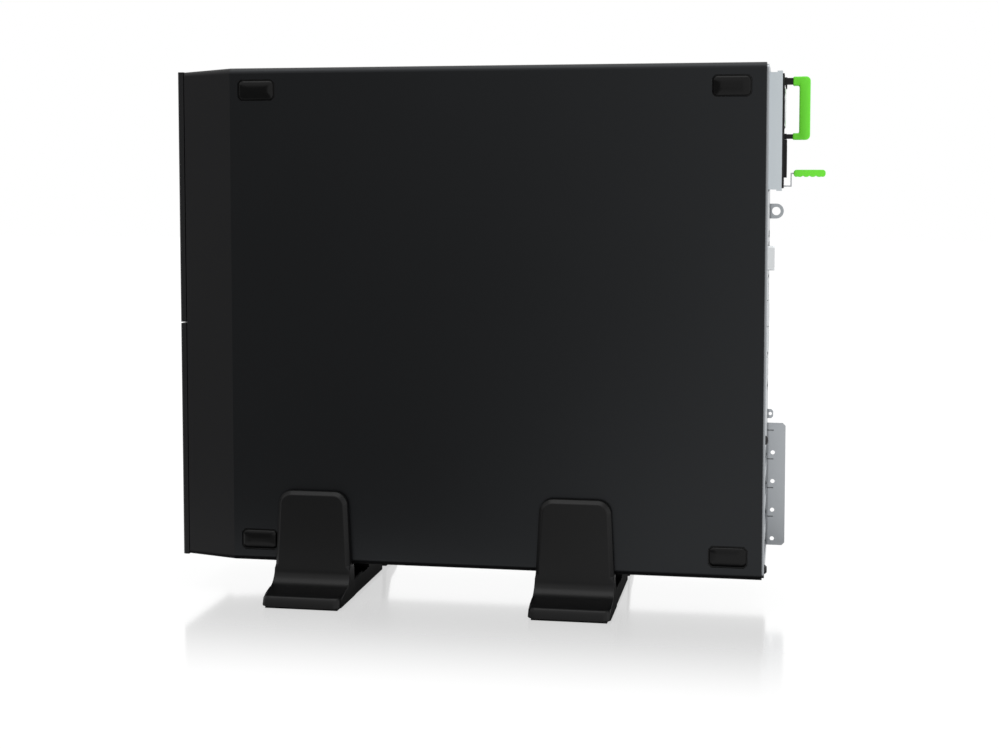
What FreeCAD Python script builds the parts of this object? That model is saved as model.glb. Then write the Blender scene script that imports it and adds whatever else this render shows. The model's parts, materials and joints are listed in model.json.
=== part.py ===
import FreeCAD, Part
import math
import os

# Compact tower server on two clip-on stands, millimetres.
# Front faces -Y, rear faces +Y, +X is the side with the rubber pads, +Z is up.
# The origin lies on the floor under the middle of the outer box.

V = FreeCAD.Vector
AXES = {"X": V(1, 0, 0), "Y": V(0, 1, 0), "Z": V(0, 0, 1)}
NEAR = 0.01            # when an edge is picked by its place

# Flat sides of round pieces where a true cylinder is not needed
HUB_SIDES = 16
BORE_SIDES = 24

# Sheet metal and clearances
PANEL_T = 1.0          # black outer sheet
TRAY_T = 1.0           # zinc-plated chassis sheet
LINER_GAP = 0.3        # outer sheet to chassis sheet
EDGE_R = 4.0           # bend along the outer sheet's long edges
FIT = 0.3              # pieces that only sit side by side
SLIDE_FIT = 0.5        # round a piece that slides in a bay
RUN_FIT = 0.05         # radial, pin or shaft in its bore
SKIN = PANEL_T + LINER_GAP + TRAY_T

# Mainboard
STANDOFF_H = 6.0
BOARD_T = 1.6
BOARD_D = 243.8
BOARD_H = 243.8
BOARD_FOOT = 3.7       # board to chassis floor

# Power supply and its bay
PSU_W = 40.0
PSU_H = 76.2
PSU_L = 185.0
PSU_SHEET = 0.8
PSU_PROUD = 10.1       # end of the steel case behind the panel's rear edge
PSU_SPLIT = 1.0        # between the two bays
BAY_T = 1.0
BAY_SIDE = 4.7         # free space beside the bay
BAY_ABOVE = 2.5
BAY_BELOW = 6.2
CAP_END = 28.3         # latch cap's end behind the steel case

# Hot-plug drives
DRIVE_BAYS = 8
DRIVE_PITCH = 18.6
DRIVE_W = 69.8
DRIVE_L = 100.2
DRIVE_H = 14.8
CARRIER_RAIL = 2.0     # carrier side rail
CARRIER_L = 112.0
CAGE_T = 1.0
CAGE_FOOT = 3.7
PLUG_SPACE = 4.0       # carrier to backplane

# Optical drive, standing on its side
ODD_H = 128.0
ODD_T = 12.7
ODD_L = 126.0
ODD_SET = 22.0         # its middle, to the right of the case's middle
ODD_MARGIN = 12.0

# System fans
FAN = 80.0
FAN_T = 38.0
HOLDER_T = 1.6
HOLDER_FIT = 0.2
HOLDER_SPACE = 1.9

# Front
COVER_T = 4.4
COVER_GAP = 0.6        # shadow gap behind the covers
COVER_SPLIT = 1.0      # between upper cover and drive door
BEZEL_L = 33.5
BEZEL_DRAW = 2.3       # how far the bezel tapers in on each side
BEZEL_WALL = 2.5
BEZEL_EDGE_R = 3.0     # corners of its front
SPLIT_MARGIN = 8.2     # drive cage to cover split
BAY_RECESS = 7.0       # drive cage behind the bezel's front
FAN_GAP = 6.0          # backplane to fans
BOARD_UNDER_FAN = 17.0
BOARD_TO_EDGE = 0.6
REAR_PROUD = 1.5       # rear panel's face behind the black panel's edge

# Case, from what it holds
CAGE_H = DRIVE_BAYS * DRIVE_PITCH + 2 * CAGE_T
FAN_STACK = (2 * SKIN + STANDOFF_H + BOARD_T + FIT
             + 2 * (HOLDER_T + HOLDER_FIT) + FAN + HOLDER_SPACE)
PSU_STACK = 2 * SKIN + 2 * (BAY_SIDE + BAY_T + SLIDE_FIT + PSU_W) + PSU_SPLIT
CASE_W = max(FAN_STACK, PSU_STACK)
REAR_STACK = (2 * SKIN + BOARD_FOOT + BOARD_H + BAY_BELOW
              + 2 * (BAY_T + SLIDE_FIT) + PSU_H + BAY_ABOVE)
FRONT_STACK = 2 * SKIN + CAGE_FOOT + CAGE_H + SPLIT_MARGIN + 2 * ODD_MARGIN + ODD_H
CASE_H = max(REAR_STACK, FRONT_STACK)
CAGE_L = CARRIER_L + PLUG_SPACE
CASE_D = (COVER_T + COVER_GAP + BAY_RECESS + CAGE_L + BOARD_T + FAN_GAP
          + FAN_T - BOARD_UNDER_FAN + BOARD_D + BOARD_TO_EDGE)

# Stands
STAND_LIFT = 24.0      # case above the floor
STAND_UP = 50.8        # side plate above the case's bottom
STAND_FIT = 0.5        # side plate to case
STAND_PLATE = 5.5
STAND_LEAN = 1.6       # side plate thickens towards its foot
STAND_TOP_W = 48.0
STAND_TOE_W = 55.2
STAND_CORNER_R = 9.0
STAND_FILLET_R = 13.0  # hollow between plate and toe
STAND_NOSE_R = 3.0
STAND_BEVEL = 1.2
TOE_OUT = 36.0         # toe beyond the case's side
TOE_H = 10.0           # toe's height at the plate
TOE_DROP = 3.0         # toe's top falls towards its nose
SOLE_T = 1.5
SOLE_INSET = 2.5
BEAM_GAP = 0.4         # between the two halves' beams
BEAM_LOW = 12.0        # beam's top in the hollow under the case
BEAM_END = -34.0
SUPPORT_FROM = -26.0
SUPPORT_TO = 5.0
LEDGE = 5.0            # ledge under the case's edge
TEETH = 4
TOOTH_PITCH = 5.0
TOOTH_H = 2.2
STAND_REAR_SET = 123.3  # rear stand's middle in front of the panel's rear edge
STAND_FRONT_SET = 57.9  # front stand's middle behind the bezel's seam

# Rubber pads on the side
PAD_L = 25.5
PAD_H = 14.0
PAD_CORNER = 2.4
PAD_PROUD = 1.8
PAD_BEVEL = 1.3
PAD_REAR_SET = 22.2
PAD_FRONT_SET = 18.7
PAD_Z_SET = 15.2

# Places, from the sizes above
SIDE = CASE_W / 2
BOTTOM = STAND_LIFT
TOP = BOTTOM + CASE_H
REACH = PSU_PROUD + CAP_END
FRONT = -(CASE_D + REACH) / 2
EDGE = FRONT + CASE_D
COVER_BACK = FRONT + COVER_T
BEZEL_FRONT = COVER_BACK + COVER_GAP
SEAM = BEZEL_FRONT + BEZEL_L
REAR_OUT = EDGE + REAR_PROUD
REAR_IN = REAR_OUT - TRAY_T
TRAY_OUT = SIDE - PANEL_T - LINER_GAP
TRAY_IN = SIDE - SKIN
FLOOR = BOTTOM + SKIN
CEILING = TOP - SKIN
TRAY_FRONT = SEAM + FIT
BOARD_BACK = TRAY_IN - STANDOFF_H
BOARD_FACE = BOARD_BACK - BOARD_T
CAGE_Y0 = BEZEL_FRONT + BAY_RECESS
CAGE_Y1 = CAGE_Y0 + CAGE_L
CAGE_Z0 = FLOOR + CAGE_FOOT
CAGE_Z1 = CAGE_Z0 + CAGE_H
SPLIT = CAGE_Z1 + SPLIT_MARGIN
FAN_Y0 = CAGE_Y1 + BOARD_T + FAN_GAP
FAN_Y1 = FAN_Y0 + FAN_T
BOARD_Y0 = FAN_Y1 - BOARD_UNDER_FAN
BOARD_Y1 = BOARD_Y0 + BOARD_D
BOARD_Z0 = FLOOR + BOARD_FOOT
BOARD_Z1 = BOARD_Z0 + BOARD_H
BAY_X = PSU_W + PSU_SPLIT / 2 + SLIDE_FIT
BAY_Z1 = CEILING - BAY_ABOVE - BAY_T
PSU_Z1 = BAY_Z1 - SLIDE_FIT
PSU_Z0 = PSU_Z1 - PSU_H
BAY_Z0 = PSU_Z0 - SLIDE_FIT
PSU_X = (PSU_W + PSU_SPLIT) / 2
PSU_END = EDGE + PSU_PROUD
PSU_FRONT = PSU_END - PSU_L
ODD_Z1 = CEILING - ODD_MARGIN
ODD_Z0 = ODD_Z1 - ODD_H
FACE_X = SIDE - BEZEL_DRAW
FACE_Z0 = BOTTOM + BEZEL_DRAW
FACE_Z1 = TOP - BEZEL_DRAW


def box(x0, x1, y0, y1, z0, z1):
    """Box between two corners."""
    return Part.makeBox(x1 - x0, y1 - y0, z1 - z0, V(x0, y0, z0))


def rod(r, start, end):
    """Round bar from one point to another."""
    return Part.makeCylinder(r, start.distanceToPoint(end), start, end - start)


def bar(sides, r, start, end):
    """Straight bar with a regular polygon as its section."""
    run = end - start
    up = V(0, 0, 1)
    side = run.cross(up).normalize()
    ring = []
    for k in range(sides):
        a = k * 2 * math.pi / sides
        ring.append(start + up * (r * math.cos(a)) + side * (r * math.sin(a)))
    return prism(ring, run)


def parallel_edges(shape, axis):
    """Straight edges that run along an axis."""
    found = []
    for edge in shape.Edges:
        run = edge.Vertexes[-1].Point - edge.Vertexes[0].Point
        if run.Length > 1e-6 and run.normalize().cross(AXES[axis]).Length < 1e-6:
            found.append(edge)
    return found


def rounded(shape, axis, r):
    """Shape with its edges along an axis rounded."""
    return shape.makeFillet(r, parallel_edges(shape, axis))


def edges_at(shape, axis, level):
    """Edges that lie wholly at one level of an axis."""
    unit = AXES[axis]
    return [e for e in shape.Edges
            if abs(e.BoundBox.Center.dot(unit) - level) < 1e-4
            and all(abs(v.Point.dot(unit) - level) < 1e-4 for v in e.Vertexes)]


def edges_near(shape, axis, point):
    """Edges along an axis whose middle lies at a point."""
    return [e for e in parallel_edges(shape, axis)
            if e.BoundBox.Center.distanceToPoint(point) < NEAR]


def prism(points, run):
    """Straight-sided profile pushed along a vector."""
    return Part.Face(Part.makePolygon(points + [points[0]])).extrude(run)


def rect_wire(y, half_w, z0, z1, r):
    """Rounded rectangle standing across the Y axis."""
    x = half_w
    k = r * (1 - math.sqrt(0.5))
    corners = []
    for sx, z, sz in ((1, z0, 1), (1, z1, -1), (-1, z1, -1), (-1, z0, 1)):
        side = V(sx * x, y, z + sz * r)
        flat = V(sx * (x - r), y, z)
        middle = V(sx * (x - k), y, z + sz * k)
        corners.append((flat, middle, side) if sx * sz > 0 else (side, middle, flat))
    edges = []
    for i, (a, m, b) in enumerate(corners):
        edges.append(Part.Arc(a, m, b).toShape())
        edges.append(Part.makeLine(b, corners[(i + 1) % 4][0]))
    return Part.Wire(edges)


def tube_profile(half_w, z0, z1, r, y0, y1):
    """Rounded rectangle bar along Y."""
    return Part.Face(rect_wire(y0, half_w, z0, z1, r)).extrude(V(0, y1 - y0, 0))


def save(name, shape):
    """Write one node."""
    solids = shape.Solids
    for solid in solids:
        if not solid.isValid() or solid.Volume <= 0:
            raise ValueError("bad solid in " + name)
    out = solids[0] if len(solids) == 1 else Part.makeCompound(solids)
    out.exportStep("parts/" + name + ".step")


def group(shapes):
    """Separate pieces that share a node."""
    return Part.makeCompound(list(shapes))


# Chassis
FLANGE_SET = 29.0      # slot flange, left of the case's middle
FLANGE_REACH = 12.7    # behind the rear panel
SLOT_PITCH = 20.32
SLOTS = 4
SLOT_FIRST = 17.9      # first slot's middle above the case's bottom
SLOT_OPEN_H = 13.0
SLOT_RIGHT = 36.0
FLANGE_HOLE_R = 1.5
FLANGE_HOLE_SET = 5.6  # hole below the slot's middle
FLANGE_HOLE_Y = 4.0    # hole behind the rear panel
FLANGE_END = 5.2       # flange past the last slot
FLANGE_CLIP = 2.0
SLIT_H = 0.8
SLIT_L = 4.5
SLIT_D = 0.6           # pressed line between two slots
COVER_SHEET = 0.8      # slot covers
COVER_TAB_W = 18.4
COVER_OVER = 5.6       # slot cover past its opening
SLOT_LEFT = 2.0        # slot opening starts this far from the flange
TAB_SLOT = 0.4         # round the slot cover's tab
LIP = 8.0              # chassis return lip behind the access cover
TRAY_BEND_R = 3.0
FLANGE_X = -FLANGE_SET
FLANGE_LEFT = FLANGE_X - TRAY_T
SLOT_Z = [BOTTOM + SLOT_FIRST + i * SLOT_PITCH for i in range(SLOTS)]
FLANGE_LOW = SLOT_Z[0] - SLOT_PITCH / 2
FLANGE_TOP = SLOT_Z[-1] + SLOT_PITCH / 2 + FLANGE_END
LOOP_UP = 3.2          # small lanced loop above the flange
LOOP_H = 6.4
LOOP_OUT = 4.0
LOOP_HOLE_R = 1.3

# Ports on the rear: middle below the board's top, height, depth off the board, how far out
PORT_FIT = 0.4
VIDEO_PORT = (37.3, 16.5, 8.4, 4.5)
USB_STACKS = ((57.8, 14.0, 15.4, 0.8), (109.8, 14.0, 15.4, 0.8))
LAN_PORTS = ((73.5, 16.0, 13.6, 1.4), (90.8, 16.0, 13.6, 1.4))
PORT_LIFT = 1.0        # port bodies stand this far off the board
PORT_L = 15.0
LAN_L = 21.0
VIDEO_WING = 4.6       # video port's block past its shell
VIDEO_LEAN = 1.2       # its short side, shorter at each end
VIDEO_R = 1.2
VIDEO_BLOCK = 2.0      # block deeper than the shell
VIDEO_RIM = 0.9
VIDEO_D = 3.0          # sunk face of the video port
PORT_FOOT = 1.0        # solder foot inside the shell's ends
PORT_WALL = 1.0
LAN_MOUTH_D = 13.0
LAN_WALL = 2.0
LAN_END = 2.1
LAN_KEY = 2.6          # tab keyway, from the board side
LAN_KEY_W = 6.0
USB_MOUTH_D = 10.0
USB_END = 0.9
USB_TONGUE_LIFT = 0.5
USB_TONGUE_END = 1.6
USB_TONGUE_SET = 1.5

# Padlock eye, access cover and its screw
COVER_LIP = 11.0       # access cover's lips over top and bottom
COVER_SEAM = 0.5
EYE_DROP = 15.0        # eye below the power bay
EYE_R = 5.2
EYE_HOLE_R = 3.0
EYE_OUT = 4.4          # eye's middle behind the rear panel
EYE_T = 1.2
EYE_SET = 3.2          # eye inside the chassis edge
EAR_Z = 40.6
EAR_H = 16.0
EAR_W = 12.0
SCREW_R = 1.5
SCREW_HEAD_R = 4.5
SCREW_HEAD_L = 6.5
KNURLS = 12
KNURL_D = 0.6
SCREW_SET = 7.5        # screw inside the access cover's face
HEAD_R = 3.0           # black screw heads on the rear edge
HEAD_H = 1.8
HEAD_BEVEL = 1.1
HEAD_SET = 3.6
HEAD_Z = (7.0, 93.0)

# Rear vent field
VENT_H = 4.5
VENT_WEB = 3.0
VENT_X0 = -40.0
VENT_X1 = -2.0
VENT_ABOVE = 22.0      # above the slot flange
VENT_BELOW = 25.0      # below the power bay


def folded_sheet(half_w, z0, z1, r, t, y0, y1):
    """Sheet folded round all four sides, open at both ends."""
    outer = tube_profile(half_w, z0, z1, r, y0, y1)
    inner = tube_profile(half_w - t, z0 + t, z1 - t, r - t, y0, y1)
    return outer.cut(inner)


def chassis_tray():
    """Zinc-plated channel that carries everything, open to the left between two lips."""
    z0 = BOTTOM + PANEL_T + LINER_GAP
    z1 = TOP - PANEL_T - LINER_GAP
    sheet = folded_sheet(TRAY_OUT, z0, z1, TRAY_BEND_R, TRAY_T, TRAY_FRONT, REAR_IN)
    return sheet.cut(box(-TRAY_OUT, -TRAY_IN, TRAY_FRONT, REAR_IN, z0 + LIP, z1 - LIP))


def vent_cuts(x0, x1, y0, y1, z0, z1):
    """Air slots in rows, through a sheet across Y."""
    pitch = VENT_H + VENT_WEB
    rows = int((z1 - z0 + VENT_WEB) / pitch)
    first = (z0 + z1 - rows * pitch + VENT_WEB) / 2
    return [box(x0, x1, y0, y1, first + k * pitch, first + k * pitch + VENT_H) for k in range(rows)]


def port_span(port):
    """Height range and depth range of a port."""
    drop, high, deep, out = port
    z0 = BOARD_Z1 - drop - high / 2
    x1 = BOARD_FACE - PORT_LIFT
    return z0, z0 + high, x1 - deep, x1


def rear_panel():
    """Rear wall with power bay, port and slot cut-outs and the outward slot flange."""
    z0 = BOTTOM + PANEL_T + LINER_GAP
    z1 = TOP - PANEL_T - LINER_GAP
    wall = rounded(box(-TRAY_OUT, TRAY_OUT, REAR_IN, REAR_OUT, z0, z1), "Y", TRAY_BEND_R)
    cuts = [box(-BAY_X, BAY_X, REAR_IN, REAR_OUT, BAY_Z0, BAY_Z1)]
    notch = LATCH_W / 2 + SLIDE_FIT
    cuts.append(box(PSU_X - notch, PSU_X + notch, REAR_IN, REAR_OUT, BAY_Z0 - TOOTH_NOTCH, BAY_Z0))
    for port in (VIDEO_PORT,) + USB_STACKS + LAN_PORTS:
        pz0, pz1, px0, px1 = port_span(port)
        cuts.append(box(px0 - PORT_FIT, px1 + PORT_FIT, REAR_IN, REAR_OUT, pz0 - PORT_FIT, pz1 + PORT_FIT))
    tab = COVER_TAB_W / 2 + TAB_SLOT
    for z in SLOT_Z:
        cuts.append(box(FLANGE_X + SLOT_LEFT, SLOT_RIGHT, REAR_IN, REAR_OUT,
                        z - SLOT_OPEN_H / 2, z + SLOT_OPEN_H / 2))
        cuts.append(box(FLANGE_LEFT - COVER_SHEET - TAB_SLOT, FLANGE_LEFT, REAR_IN, REAR_OUT,
                        z - tab, z + tab))
    screw = V(-SIDE + SCREW_SET, REAR_IN, BOTTOM + EAR_Z)
    cuts.append(rod(SCREW_R + SLIDE_FIT, screw, screw + V(0, TRAY_T, 0)))
    cuts += vent_cuts(VENT_X0, VENT_X1, REAR_IN, REAR_OUT, FLANGE_TOP + VENT_ABOVE, BAY_Z0 - VENT_BELOW)
    return wall.cut(cuts).fuse([slot_flange(), lanced_loop()]).removeSplitter()


def slot_flange():
    """Ledge for the slot covers' tabs, bent out of the rear panel."""
    low = FLANGE_LOW
    high = FLANGE_TOP
    y1 = REAR_OUT + FLANGE_REACH
    ring = [V(FLANGE_LEFT, REAR_OUT, low), V(FLANGE_LEFT, y1 - FLANGE_CLIP, low),
            V(FLANGE_LEFT, y1, low + FLANGE_CLIP), V(FLANGE_LEFT, y1, high - FLANGE_CLIP),
            V(FLANGE_LEFT, y1 - FLANGE_CLIP, high), V(FLANGE_LEFT, REAR_OUT, high)]
    ledge = prism(ring, V(TRAY_T, 0, 0))
    cuts = []
    for z in SLOT_Z:
        hole_z = z - FLANGE_HOLE_SET
        hole_y = REAR_OUT + FLANGE_HOLE_Y
        cuts.append(rod(FLANGE_HOLE_R, V(FLANGE_LEFT, hole_y, hole_z), V(FLANGE_X, hole_y, hole_z)))
        top = z + SLOT_PITCH / 2
        cuts.append(box(FLANGE_X - SLIT_D, FLANGE_X, REAR_OUT, REAR_OUT + SLIT_L,
                        top - SLIT_H / 2, top + SLIT_H / 2))
    return ledge.cut(cuts)


def lanced_loop():
    """Small loop pushed out of the rear panel above the flange."""
    low = FLANGE_TOP + LOOP_UP
    plate = box(FLANGE_LEFT, FLANGE_X, REAR_OUT, REAR_OUT + LOOP_OUT, low, low + LOOP_H)
    plate = plate.makeChamfer(LOOP_HOLE_R, [e for e in parallel_edges(plate, "X")
                                            if e.BoundBox.YMin > REAR_OUT + NEAR])
    middle = V(FLANGE_LEFT, REAR_OUT + LOOP_OUT / 2, low + LOOP_H / 2)
    return plate.cut(bar(6, LOOP_HOLE_R, middle, middle + V(TRAY_T, 0, 0)))


def slot_covers():
    """Blank brackets inside the slots, with tabs out over the flange."""
    covers = []
    half = COVER_TAB_W / 2
    left = FLANGE_LEFT - COVER_SHEET
    y0 = REAR_IN - COVER_SHEET
    for z in SLOT_Z:
        plate = box(left, SLOT_RIGHT + COVER_OVER, y0, REAR_IN, z - half, z + half)
        tab = box(left, FLANGE_LEFT, y0, REAR_OUT + FLANGE_REACH - FLANGE_CLIP, z - half, z + half)
        hole_y = REAR_OUT + FLANGE_HOLE_Y
        hole_z = z - FLANGE_HOLE_SET
        r = FLANGE_HOLE_R + FIT
        notch = bar(HUB_SIDES, r, V(left, hole_y, hole_z), V(FLANGE_LEFT, hole_y, hole_z))
        mouth = box(left, FLANGE_LEFT, hole_y - r, hole_y + r, z - half, hole_z)
        covers.append(plate.fuse(tab).cut([notch, mouth]).removeSplitter())
    return group(covers)


def front_wall():
    """Sheet across the chassis front, open for drives, optical drive and air."""
    y0 = TRAY_FRONT
    y1 = y0 + TRAY_T
    wall = rounded(box(-TRAY_IN, TRAY_IN, y0, y1, FLOOR, CEILING), "Y", TRAY_BEND_R)
    cuts = [box(CAGE_X0 - FIT, CAGE_X1 + FIT, y0, y1, FLOOR, CAGE_Z1 + FIT)]
    odd = ODD_T / 2 + FIT
    cuts.append(box(ODD_SET - odd, ODD_SET + odd, y0, y1, ODD_Z0 - FIT, ODD_Z1 + FIT))
    cuts.append(box(VENT_X0, 0, y0, y1, SPLIT + ODD_MARGIN, CEILING - 2 * ODD_MARGIN))
    return wall.cut(cuts)


def right_panel():
    """Black painted skin: right side, top and bottom in one sheet."""
    left = -SIDE + COVER_LIP + COVER_SEAM
    skin = folded_sheet(SIDE, BOTTOM, TOP, EDGE_R, PANEL_T, SEAM, EDGE)
    skin = skin.common(box(left, SIDE, SEAM, EDGE, BOTTOM, TOP))
    return skin.cut(pad_blocks(SIDE - PANEL_T, SIDE, FIT))


def pad_blocks(x0, x1, grow):
    """Blocks with cut corners at the four pad places."""
    blocks = []
    for y in (EDGE - PAD_REAR_SET, SEAM + PAD_FRONT_SET):
        for z in (BOTTOM + PAD_Z_SET, TOP - PAD_Z_SET):
            half_l = PAD_L / 2 + grow
            half_h = PAD_H / 2 + grow
            block = box(x0, x1, y - half_l, y + half_l, z - half_h, z + half_h)
            blocks.append(block.makeChamfer(PAD_CORNER, parallel_edges(block, "X")))
    return blocks


def side_pads():
    """Rubber pads through the skin, seated on the chassis."""
    pads = []
    for block in pad_blocks(TRAY_OUT, SIDE + PAD_PROUD, 0):
        pads.append(block.makeChamfer(PAD_BEVEL, edges_at(block, "X", SIDE + PAD_PROUD)))
    return group(pads)


def access_cover():
    """Black left side that slides back, with its padlock eye and screw ear."""
    right = -SIDE + COVER_LIP
    skin = folded_sheet(SIDE, BOTTOM, TOP, EDGE_R, PANEL_T, SEAM, EDGE)
    skin = skin.common(box(-SIDE, right, SEAM, EDGE, BOTTOM, TOP))
    ear_y0 = REAR_OUT + FIT
    ear_y1 = ear_y0 + PANEL_T
    low = BOTTOM + EAR_Z - EAR_H / 2
    run = box(-SIDE, -SIDE + PANEL_T, EDGE, ear_y1, low, low + EAR_H)
    ear = rounded(box(-SIDE, -SIDE + EAR_W, ear_y0, ear_y1, low, low + EAR_H), "Y", PANEL_T / 2)
    screw_x = -SIDE + SCREW_SET
    hole = rod(SCREW_R + RUN_FIT, V(screw_x, ear_y0, BOTTOM + EAR_Z), V(screw_x, ear_y1, BOTTOM + EAR_Z))
    return skin.fuse([run, ear.cut(hole), eye_plate(-SIDE, PANEL_T, EDGE)]).removeSplitter()


def eye_plate(x, t, root):
    """Rounded tab with a padlock hole, standing behind a rear edge."""
    y = REAR_OUT + EYE_OUT
    z = BAY_Z0 - EYE_DROP
    ring = rod(EYE_R, V(x, y, z), V(x + t, y, z))
    web = box(x, x + t, root, y, z - EYE_R, z + EYE_R)
    tail = box(x, x + t, root - EYE_R, root, z - EYE_R, z + EYE_R)
    hole = rod(EYE_HOLE_R, V(x, y, z), V(x + t, y, z))
    return ring.fuse(web).cut(hole).cut(tail).removeSplitter()


def padlock_eye():
    """Steel eye with a foot riveted to the rear panel."""
    x = -TRAY_OUT + EYE_SET
    z = BAY_Z0 - EYE_DROP
    foot = box(-TRAY_OUT + FIT, x, REAR_OUT, REAR_OUT + EYE_T, z - EYE_R, z + EYE_R)
    return eye_plate(x, EYE_T, REAR_OUT).fuse(foot).removeSplitter()


def cover_screw():
    """Knurled captive screw of the access cover."""
    x = -SIDE + SCREW_SET
    z = BOTTOM + EAR_Z
    seat = REAR_OUT + FIT + PANEL_T
    ring = []
    for k in range(2 * KNURLS):
        a = k * math.pi / KNURLS
        r = SCREW_HEAD_R - (KNURL_D if k % 2 else 0)
        ring.append(V(x + r * math.cos(a), seat, z + r * math.sin(a)))
    head = prism(ring, V(0, SCREW_HEAD_L, 0))
    shank = rod(SCREW_R, V(x, REAR_IN - 2 * TRAY_T, z), V(x, seat, z))
    return head.fuse(shank).removeSplitter()


def rear_screws():
    """Black bevelled screw heads at the skin's rear edge."""
    heads = []
    for z in HEAD_Z:
        x = TRAY_OUT - HEAD_SET
        head = bar(HUB_SIDES, HEAD_R, V(x, REAR_OUT, BOTTOM + z), V(x, REAR_OUT + HEAD_H, BOTTOM + z))
        heads.append(head.makeChamfer(HEAD_BEVEL, edges_at(head, "Y", REAR_OUT + HEAD_H)))
    return group(heads)


# Stands
def stand_profile():
    """Plate, hollow fillet and toe of one half, seen along Y."""
    plate_in = SIDE + STAND_FIT
    plate_top = BOTTOM + STAND_UP
    root = plate_in + STAND_PLATE + STAND_LEAN
    toe = SIDE + TOE_OUT
    inner = SIDE - LEDGE
    hollow = V(root, 0, SOLE_T + TOE_H)
    nose = V(toe - STAND_LEAN, 0, SOLE_T + TOE_H - TOE_DROP)
    points = [V(plate_in, 0, plate_top), V(plate_in + STAND_PLATE, 0, plate_top), hollow,
              nose, V(toe, 0, SOLE_T), V(inner, 0, SOLE_T),
              V(inner, 0, BOTTOM - FIT), V(plate_in, 0, BOTTOM - FIT)]
    half = STAND_TOE_W / 2
    body = prism([p + V(0, -half, 0) for p in points], V(0, 2 * half, 0))
    body = body.makeFillet(STAND_FILLET_R, edges_near(body, "Y", hollow))
    return body.makeFillet(STAND_NOSE_R, edges_near(body, "Y", nose))


def stand_beam():
    """Half-width beam under the case, with a raised support and ratchet teeth."""
    inner = SIDE - LEDGE
    points = [V(inner, 0, SOLE_T), V(inner, 0, BEAM_LOW)]
    for k in range(TEETH):
        x = inner - k * TOOTH_PITCH
        points.append(V(x - TOOTH_PITCH, 0, BEAM_LOW + TOOTH_H))
        points.append(V(x - TOOTH_PITCH, 0, BEAM_LOW))
    points += [V(SUPPORT_TO, 0, BEAM_LOW), V(SUPPORT_TO, 0, BOTTOM), V(SUPPORT_FROM, 0, BOTTOM),
               V(BEAM_END, 0, BEAM_LOW), V(BEAM_END, 0, SOLE_T)]
    y0 = BEAM_GAP / 2
    return prism([p + V(0, y0, 0) for p in points], V(0, STAND_TOE_W / 2 - y0, 0))


def stand_outline(x0, x1):
    """Tapered front outline of a stand half, pushed along X."""
    top = BOTTOM + STAND_UP
    half_top = STAND_TOP_W / 2
    half_toe = STAND_TOE_W / 2
    ring = [V(x0, -half_toe, SOLE_T), V(x0, half_toe, SOLE_T), V(x0, half_top, top), V(x0, -half_top, top)]
    block = prism(ring, V(x1 - x0, 0, 0))
    corners = [e for e in parallel_edges(block, "X") if e.BoundBox.Center.z > top - NEAR]
    return block.makeFillet(STAND_CORNER_R, corners)


def stand_half():
    """One moulded half, at the right of the case, about the stand's own middle."""
    shape = stand_profile().common(stand_outline(0, SIDE + TOE_OUT))
    outer = SIDE + STAND_FIT + STAND_PLATE
    rim = [e for e in shape.Edges
           if e.BoundBox.XMin > outer - NEAR and e.BoundBox.ZMin > BOTTOM and e.BoundBox.ZLength > NEAR
           or e.BoundBox.ZMin > BOTTOM + STAND_UP - NEAR and abs(e.BoundBox.XMin - outer) < NEAR]
    shape = shape.makeChamfer(STAND_BEVEL, rim)
    beam = stand_beam().common(stand_outline(BEAM_END, SIDE))
    return shape.fuse(beam).removeSplitter()


def stand_sole():
    """Rubber sole under a toe."""
    half = STAND_TOE_W / 2 - SOLE_INSET
    return box(SIDE + LEDGE, SIDE + TOE_OUT - SOLE_INSET, -half, half, 0, SOLE_T)


def stand_pair(shape, y):
    """Right half and left half of a stand at one place along the case."""
    right = shape.copy()
    right.translate(V(0, y, 0))
    left = shape.copy()
    left.rotate(V(0, 0, 0), V(0, 0, 1), 180)
    left.translate(V(0, y, 0))
    return right, left


def make_stands():
    """Both stands and their soles."""
    soles = []
    half = stand_half()
    for name, y in (("front", SEAM + STAND_FRONT_SET), ("rear", EDGE - STAND_REAR_SET)):
        right, left = stand_pair(half, y)
        save("stand_" + name + "_right", right)
        save("stand_" + name + "_left", left)
        soles += stand_pair(stand_sole(), y)
    save("stand_soles", group(soles))


# Front
CAGE_W = DRIVE_W + 2 * CARRIER_RAIL + 2 * SLIDE_FIT + 2 * CAGE_T
CAGE_X0 = -CAGE_W / 2
CAGE_X1 = CAGE_W / 2
HINGE_X = -FACE_X + COVER_T / 2
HINGE_Y = FRONT + COVER_T / 2
KNUCKLE_H = 8.0
KNUCKLE_SET = 28.0     # knuckles from the door's ends
HINGE_PIN_R = 1.0
HINGE_PIN_OVER = 5.0
DOOR_SLOT_W = 66.0
DOOR_SLOT_H = 5.0
DOOR_SLOT_PITCH = 10.0
DOOR_RIM = 11.0
CONTROL_X = -18.0
POWER_R = 7.0
POWER_DROP = 26.0      # power button below the face's top
ID_R = 3.0
ID_DROP = 48.0
LIGHT_W = 8.0
LIGHT_H = 2.4
LIGHT_DROP = 62.0
LIGHT_PITCH = 6.0
LIGHTS = 4
USB_W = 13.2
USB_H = 5.8
USB_DROP = (104.0, 128.0)
USB_L = 14.0
USB_WALL = 0.6
USB_BACK = 3.0         # solid back of a port
TONGUE_T = 1.8
TONGUE_W = 11.2
TONGUE_SET = 2.0       # tongue inside the port's mouth
BUTTON_TRAVEL = 1.2
CROWN = 0.12           # bevelled rim, share of the radius
STEM = 0.4             # stem, share of the radius
CONTROL_Y = FRONT + USB_L + FIT
BOARD_EDGE = 12.0
SWITCH_H = 3.2
SWITCH_W = 6.0
SWITCH_TIP_R = 1.6
POST_R = 2.5


def lower_z():
    """Height range of the drive door."""
    return FACE_Z0, SPLIT - COVER_SPLIT / 2


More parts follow.
